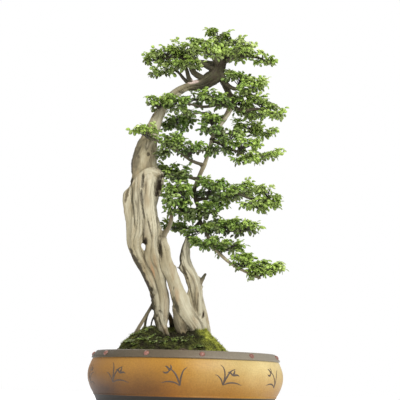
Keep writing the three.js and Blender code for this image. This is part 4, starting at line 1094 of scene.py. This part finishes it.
# How high the sprigs' middles stand, how much bolder they are brushed, and how far apart strokes are sampled
SPRIG_HEIGHT = 80
SPRIG_WEIGHT = 1.2
STROKE_STEP = 0.0012
# The share of its width that a stroke keeps at its ends
STROKE_THINNEST = 0.12
# A stroke's section: shares of its half width, and how far they stand off the pot in millimetres
STROKE_SECTION = [(1, -0.4), (0.85, 0.3), (-0.85, 0.3), (-1, -0.4), (0, -0.9)]


def smooth_profile(corners, spacing):
    """Samples of a smooth flat line through corners in millimetres."""
    return spline([[*corner, 0, 1] for corner in corners], spacing)[:, :2]


def pot_profile():
    """Samples of the whole pot's section, and the share of each that is band, foot and inside."""
    sections = [
        (np.array(POT_FOOT) * MM, "foot"), (smooth_profile(POT_BEAD, 0.001), "body"),
        (smooth_profile(POT_BODY, 0.003), "body"), (np.array(POT_BAND) * MM, "band"),
        (smooth_profile(POT_INSIDE[:-3], 0.004), "inside"), (np.array(POT_INSIDE[-3:]) * MM, "inside"),
    ]
    points = np.vstack([rows for rows, _ in sections])
    kinds = np.repeat([kind for _, kind in sections], [len(rows) for rows, _ in sections])
    return points, {kind: (kinds == kind).astype(float) for kind in ("foot", "band", "inside")}


def pot_radius(height):
    """The radius of the pot's body at a height, both in metres."""
    radii, heights = (np.array(POT_BODY) * MM).T
    return np.interp(height, heights, radii)


def around(count, first):
    return [math.radians(first + 360 / count * i) for i in range(count)]


def circle(radius, angles):
    return radius * np.cos(angles), radius * np.sin(angles)


def rings_of(shares, sides, place=circle):
    """Points on rings: place gives x and y for a share and the angles."""
    angles = np.arange(sides) * TAU / sides
    return np.vstack([np.column_stack(place(share, angles)) for share in shares])


def pot_body():
    profile, kinds = pot_profile()
    radii, heights = profile[1:-1].T
    points = np.column_stack([rings_of(radii, POT_SIDES), np.repeat(heights, POT_SIDES)])
    points[:, :2] *= 1 - np.abs(layered(points, 0.09, 7) * POT_UNEVEN)[:, None]
    points = np.vstack([points, [0, 0, heights[0]], [0, 0, heights[-1]]])
    values = {kind: np.append(np.repeat(share[1:-1], POT_SIDES), [0, 0]) for kind, share in kinds.items()}
    made = piece("pot_body", points, tube_faces(len(radii), POT_SIDES)[:, ::-1], looks["clay"], "clay",
                 ["pot"], **values)
    for angle in around(DRAINS["count"], DRAINS["first"]):
        cut_hole(made, *circle(DRAINS["circle"] * MM, angle))


def cut_hole(made, x, y):
    """A round hole through the pot's floor, cut from below it to above it."""
    line = np.array([[x, y, z, DRAINS["radius"] * MM] for z in (-0.01, 0.01, 0.03)])
    cutter = bpy.data.objects.new("cutter", mesh_of("cutter", *tube(line, 40)))
    scene.collection.objects.link(cutter)
    cut = made.modifiers.new("hole", "BOOLEAN")
    cut.operation = "DIFFERENCE"
    cut.object = cutter
    mesh = bpy.data.meshes.new_from_object(made.evaluated_get(bpy.context.evaluated_depsgraph_get()))
    made.modifiers.clear()
    made.data = mesh
    bpy.data.objects.remove(cutter)


def pot_studs():
    """Round-headed studs along the band, each with a small lip round its foot."""
    radius, height = STUDS["radius"] * MM, STUDS["height"] * MM
    rise = np.linspace(0, 1, 9)[:-1] * math.pi / 2
    dome = np.column_stack([height * np.sin(rise), 0 * rise, 0 * rise, radius * np.cos(rise) ** 0.8])
    lip = [[-0.003, 0, 0, radius], [-0.001, 0, 0, radius * 1.06], dome[0] + [0, 0, 0, radius * 0.06]]
    points, faces = tube(np.vstack([lip, dome[1:], [height, 0, 0, radius * 0.1]]), 24)
    tilt = np.array(Matrix.Rotation(-STUDS["lean"], 3, "Y"))
    points = points @ tilt.T + np.array([STUDS["at"][0], 0, STUDS["at"][1]]) * MM
    turns = [np.array(Matrix.Rotation(angle, 3, "Z")) for angle in around(STUDS["count"], STUDS["first"])]
    parts = [(points @ turn.T, faces) for turn in turns]
    piece("pot_studs", *merged(parts), looks["stud"], "clay", ["pot"])


def stroke(points, width):
    """A tapering brush stroke through points (sideways, up): its samples and their half widths."""
    rows = smooth_profile(points, STROKE_STEP)
    share = np.linspace(0, 1, len(rows))
    half = width * MM / 2 * np.clip(np.sin(math.pi * share**0.7) ** 0.6, STROKE_THINNEST, 1)
    return rows, half


def pot_sprigs():
    """The sprigs as low closed ridges that follow the pot's side."""
    parts = []
    for i, angle in enumerate(around(STUDS["count"], STUDS["first"] + 180 / STUDS["count"])):
        for *points, width in SPRIGS[i % len(SPRIGS)]:
            rows, half = stroke(points, SPRIG_WEIGHT * width)
            way = unit(np.gradient(rows, axis=0))
            aside = np.column_stack([-way[:, 1], way[:, 0]])
            ring = np.stack([on_pot(rows + aside * half[:, None] * share, proud * MM, angle)
                             for share, proud in STROKE_SECTION], axis=1).reshape(-1, 3)
            ends = [ring[:len(STROKE_SECTION)].mean(axis=0), ring[-len(STROKE_SECTION):].mean(axis=0)]
            parts.append((np.vstack([ring, ends]), tube_faces(len(rows), len(STROKE_SECTION))))
    piece("pot_sprigs", *merged(parts), looks["ink"], "clay", ["pot"])


def on_pot(flat, proud, angle):
    """Places (sideways, up) round a sprig's angle, standing proud of the pot's side."""
    height = SPRIG_HEIGHT * MM + flat[:, 1]
    radius = pot_radius(height) + proud
    turn = angle + flat[:, 0] / radius
    return np.column_stack([radius * np.cos(turn), radius * np.sin(turn), height])


# Soil and moss

SOIL_EDGE = 0.138
SOIL_FLOOR = 0.0183
SOIL_RADIUS = 0.2305
SOIL_SIDES = 200
# The soil's wall down to the pot's floor: radius and height
SOIL_WALL = [(0.2305, 0.134), (0.2385, 0.084), (0.2245, 0.026), (0.2145, SOIL_FLOOR)]
SOIL_RELIEF = 0.0012
# Grains lie on the soil out to their reach, but not on the inner share of the mound
GRAINS = 2600
GRAIN_REACH = 0.2285
GRAIN_SIZE = (0.0012, 0.0026)
GRAIN_CORNERS = [(1, 0, 0), (0, 1, 0), (-1, 0, 0), (0, -1, 0), (0, 0, 1), (0, 0, -1)]
GRAIN_FACES = [(0, 1, 4), (1, 2, 4), (2, 3, 4), (3, 0, 4), (1, 0, 5), (2, 1, 5), (3, 2, 5), (0, 3, 5)]
COVERED_SHARE = 0.8
MOUND = {"x": -0.038, "y": 0.0, "half_width": 0.163, "half_depth": 0.14, "height": 0.068}
# Rises and dips of the ground: x, y, radius and height in millimetres
LUMPS = [(-12, -48, 42, -15), (-64, -62, 48, -26), (-98, -20, 30, 6), (52, -18, 26, 9), (20, -78, 26, -5),
         (-120, 40, 40, 4), (30, 60, 40, 5), (-168, -40, 30, -11), (98, -10, 40, -12)]
MOSS_SIDES = 240
MOSS_THICKNESS = 0.009
MOSS_UNDER = SOIL_EDGE - 0.004
# How much thinner the moss is at its edge, how deep its hollows lie, from which share of the way out the
# blanket turns down, and how far
MOSS_THINNED = 0.62
MOSS_SUNK = 0.002
MOSS_RIM = 0.965
RIM_DROP = 0.8
# Cushions and bumps of the moss: their height, size and seed
CUSHIONS = (0.009, 0.022, 21)
BUMPS = (0.004, 0.009, 22)
# How far out the moss reaches: its middle share and more at the front, then the waves of its edge as height,
# count and turn
EDGE_SHARE = 0.93
EDGE_FRONT = 0.07
EDGE_WAVES = [(0.05, 3, 0.6), (0.03, 7, 0), (0.012, 17, 1), (0.008, 31, 2)]
TUFTS = 14000
TUFT_HEIGHT = (0.003, 0.009)
TUFT_RADIUS = 0.0013
TUFT_LEAN = 0.5
# What is added to the moss's tone on the blanket and at a tuft's three feet, darker with painted shade among
# the tufts, and at its tip
BLANKET_TONE = -0.08
TUFT_TONES = [-0.1, -0.1, -0.1, 0.16]
# Patches of the moss: x, y, radius in millimetres, and tone from 0, dark, to 1, fresh yellow-green. Between
# them the plain tone shows, as strongly as its weight says.
MOSS_PATCHES = [
    (62, -40, 30, 0.95), (88, -30, 34, 0.85), (72, -80, 34, 0.7), (30, -100, 30, 0.4), (-60, -50, 34, 0.05),
    (-15, -55, 36, -0.1), (15, -70, 25, 0.0), (-20, -90, 30, 0.15), (-100, -50, 30, 0.35),
    (-160, -20, 36, 0.45), (-120, -80, 30, 0.25), (-60, -110, 40, 0.25), (-130, 10, 30, 0.5),
    (-100, 60, 60, 0.6), (30, 80, 60, 0.7),
]
PLAIN_WEIGHT = 0.12
PLAIN_TONE = 0.4
# Little plants in the moss: x, y, leaves and the size of the leaves
HERBS = [(-156, -58, 8, 0.55), (-146, -76, 8, 0.55), (-136, -92, 8, 0.6), (-120, -70, 8, 0.5),
         (-112, -96, 8, 0.55), (-96, -60, 7, 0.45), (-90, -104, 8, 0.5), (-74, -80, 8, 0.45),
         (-62, -112, 8, 0.5), (-46, -90, 8, 0.45), (-30, -116, 8, 0.5), (-18, -96, 7, 0.45),
         (-4, -112, 8, 0.5), (12, -92, 8, 0.45), (30, -112, 7, 0.5), (-104, -36, 7, 0.5), (-124, -40, 7, 0.5),
         (-144, -30, 7, 0.5)]
HERB_TONE = 0.22


def mound_share(x, y):
    """How far out on the mound a place lies: 0 at its top, 1 at its foot."""
    return np.hypot((x - MOUND["x"]) / MOUND["half_width"], (y - MOUND["y"]) / MOUND["half_depth"])


def ground_height(x, y):
    share = np.minimum(mound_share(x, y), 1)
    lumps = sum(rise * MM * np.exp(-((x / MM - lump_x) ** 2 + (y / MM - lump_y) ** 2) / radius**2)
                for lump_x, lump_y, radius, rise in LUMPS)
    return SOIL_EDGE + MOUND["height"] * (1 - share**3) + lumps * (1 - share**6)


def mound_edge(angle):
    """How far out the moss reaches at an angle."""
    front = EDGE_SHARE + EDGE_FRONT * eased(-np.sin(angle), 0.3, 1.0)
    return front + sum(height * np.cos(count * angle + turn) for height, count, turn in EDGE_WAVES)


def on_mound(share, angle):
    """The place at a share of the way out to the moss's edge."""
    reach = share * mound_edge(angle)
    return (MOUND["x"] + MOUND["half_width"] * reach * np.cos(angle),
            MOUND["y"] + MOUND["half_depth"] * reach * np.sin(angle))


def soil():
    """The soil's uneven surface, with its grains, and its sides down to the pot's floor."""
    shares = np.linspace(0.02, 1, 56)
    flat = rings_of(SOIL_RADIUS * shares, SOIL_SIDES)
    height = ground_height(*flat.T)
    uneven = layered(np.column_stack([flat, height]), 0.012, 11)
    points = np.column_stack([flat, height + SOIL_RELIEF * uneven - SOIL_RELIEF / 2])
    wall = [np.column_stack([rings_of([radius], SOIL_SIDES), np.full(SOIL_SIDES, z)])
            for radius, z in SOIL_WALL]
    points = np.vstack([points, *wall, [0, 0, ground_height(0, 0)], [0, 0, SOIL_FLOOR]])
    parts = [(points, tube_faces(len(shares) + len(wall), SOIL_SIDES)[:, ::-1])]
    draw = np.random.default_rng(5)
    ball = np.array(GRAIN_CORNERS, float)
    while len(parts) <= GRAINS:
        angle, reach = draw.uniform(0, TAU), GRAIN_REACH * math.sqrt(draw.uniform(0.12, 1))
        x, y = circle(reach, angle)
        if mound_share(x, y) < COVERED_SHARE:
            continue
        size = draw.uniform(*GRAIN_SIZE)
        shape = ball * draw.uniform(0.75, 1.25, ball.shape) * size
        parts.append((shape + [x, y, ground_height(x, y) + 0.2 * size], np.array(GRAIN_FACES)))
    piece("soil_grains", *merged(parts), looks["soil"], "soil", ["soil"])


def moss_height(x, y):
    """The moss's surface: cushions on the mound, thin at its edge."""
    flat = np.column_stack([x, y, 0 * x])
    cushion_height, cushion_size, cushion_seed = CUSHIONS
    bump_height, bump_size, bump_seed = BUMPS
    cushions = (cushion_height * np.abs(noise(flat, cushion_size, cushion_seed))
                + bump_height * noise(flat, bump_size, bump_seed))
    thickness = MOSS_THICKNESS * (1.0 - MOSS_THINNED * mound_share(x, y)**2)
    return ground_height(x, y) + thickness + cushions - MOSS_SUNK


def moss_tone(points):
    """Fresh or dark by the patch that a point lies in."""
    weight, total = np.full(len(points), PLAIN_WEIGHT), np.full(len(points), PLAIN_WEIGHT * PLAIN_TONE)
    for x, y, radius, tone in MOSS_PATCHES:
        near = np.exp(-(((points[:, 0] / MM - x) ** 2 + (points[:, 1] / MM - y) ** 2) / radius**2) * 2)
        weight += near
        total += near * tone
    return total / weight + 0.5 * layered(points, 0.012, 23)


def moss_blanket():
    """The points and faces of the bumpy blanket, turned down at its edge."""
    shares = np.linspace(0.015, 1, 62)
    flat = rings_of(shares, MOSS_SIDES, on_mound)
    height = moss_height(*flat.T)
    rim = np.repeat(eased(shares, MOSS_RIM, 1.0), MOSS_SIDES)
    height = height - rim * (height - ground_height(*flat.T)) * RIM_DROP
    skirt = np.column_stack([flat[-MOSS_SIDES:], np.full(MOSS_SIDES, MOSS_UNDER)])
    x, y = MOUND["x"], MOUND["y"]
    middle = [[x, y, moss_height(x, y)[0]], [x, y, MOSS_UNDER]]
    points = np.vstack([np.column_stack([flat, height]), skirt, middle])
    return points, tube_faces(len(shares) + 1, MOSS_SIDES)[:, ::-1]


def moss_tufts(draw):
    """The points and faces of small pointed tufts all over the moss."""
    angle, share = draw.uniform(0, TAU, TUFTS), np.sqrt(draw.uniform(0, 1, TUFTS)) * 0.985
    x, y = on_mound(share, angle)
    foot = np.column_stack([x, y, moss_height(x, y) - 0.001])
    aside, ahead = draw.normal(0, TUFT_LEAN, TUFTS), draw.normal(0, TUFT_LEAN, TUFTS)
    lean = np.column_stack([aside, ahead, np.ones(TUFTS)])
    tip = foot + unit(lean) * draw.uniform(*TUFT_HEIGHT, TUFTS)[:, None]
    turn = draw.uniform(0, TAU, TUFTS)[:, None] + np.arange(3) * TAU / 3
    base = foot[:, None] + TUFT_RADIUS * np.stack([np.cos(turn), np.sin(turn), 0 * turn], axis=2)
    corners = np.array([(0, 1, 3), (1, 2, 3), (2, 0, 3), (1, 0, 2)])
    faces = (np.arange(TUFTS)[:, None, None] * 4 + corners).reshape(-1, 3)
    return np.concatenate([base, tip[:, None]], axis=1).reshape(-1, 3), faces


def moss():
    """A bumpy blanket of moss with small tufts all over."""
    blanket, tufts = moss_blanket(), moss_tufts(np.random.default_rng(9))
    tones = [moss_tone(blanket[0]) + BLANKET_TONE, moss_tone(tufts[0]) + np.tile(TUFT_TONES, TUFTS)]
    tone = np.clip(np.concatenate(tones), 0, 1)
    piece("moss_cushions", *merged([blanket, tufts]), looks["moss"], "moss", ["moss"], tone=tone)


def herbs(kinds, draw):
    """Small rosettes of leaves that grow in the moss."""
    parts, tones = [], []
    for x, y, count, size in HERBS:
        centre = np.array([x, y, 0]) * MM
        centre[2] = moss_height(centre[:1], centre[1:2])[0]
        for k in range(count):
            points, faces, change = kinds[draw.integers(len(kinds))]
            way = flat_way(NEXT_TURN * k, draw.uniform(0.3, 1.2))
            roll, leaf_size = draw.uniform(-0.4, 0.4), size * draw.uniform(0.85, 1.2)
            parts.append((turned(points, centre, way, roll, leaf_size), faces))
            tones.append(HERB_TONE + draw.uniform(-0.15, 0.3) + change)
    tone = np.concatenate(tones)
    piece("mound_herbs", *merged(parts), looks["leaf"], "foliage", ["moss"],
          tone=tone, twig=0 * tone, deep=0 * tone)


# The whole scene

# Each look's name, paint, roughness and height of its bump, and where they differ its sheen and its glow
looks = {
    "wood": material("weathered_wood", wood_paint, 0.8, 0.0012, 0.3),
    "leaf": material("ash_leaf", leaf_paint, 0.5, 0.0002, 0.4),
    "clay": material("ochre_clay", clay_paint, 0.5, 0.0003, 0.3),
    "stud": material("stud_clay", plain_paint((0.13, 0.05, 0.035), (0.24, 0.10, 0.07), 90), 0.45, 0.0003),
    "ink": material("brushed_ink", plain_paint((0.035, 0.022, 0.014), (0.08, 0.05, 0.03), 300), 0.6, 0.0002),
    "soil": material("potting_soil", plain_paint((0.03, 0.02, 0.012), (0.11, 0.075, 0.045), 220), 0.95,
                     0.0006),
    "moss": material("moss", moss_paint, 0.95, 0.0008, 0.2),
    "floor": material("floor", plain_paint((0.93, 0.93, 0.93), (0.94, 0.94, 0.94), 4), 0.9, 0.0001, 0.1,
                      0.35),
    "net": material("drain_net", plain_paint((0.010, 0.012, 0.010), (0.025, 0.028, 0.025), 400), 0.6,
                    0.0002),
}

place_camera()
place_lights()
wood("trunk_deadwood", {**TRUNK, **LEGS, **SPURS}, TRUNK_VOXEL, 5, 1.0)
wood("boughs", BOUGHS, BOUGH_VOXEL, 2, 0.8)
leaf_draw = np.random.default_rng(17)
leaf_kinds = [compound_leaf(leaf_draw, 1 + k % 2) for k in range(LEAF_KINDS)]
for spray_name, first_stem in SPRAYS.items():
    spray_stems = [first_stem]
    if spray_name in SIDE_STEMS:
        stem_start, *stem_rest = SIDE_STEMS[spray_name]
        spray_stems.append([first_stem[stem_start], *stem_rest])
    spray(spray_name, spray_stems, leaf_kinds, leaf_draw)
pot_body()
pot_studs()
pot_sprigs()
soil()
moss()
herbs(leaf_kinds, leaf_draw)
for node_name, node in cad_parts.items():
    if node_name.startswith("drain_net"):
        node.data.materials.clear()
        node.data.materials.append(looks["net"])

bpy.ops.mesh.primitive_plane_add(size=FLOOR_SIZE)
floor = bpy.context.object
floor.name = "floor"
floor.data.materials.append(looks["floor"])
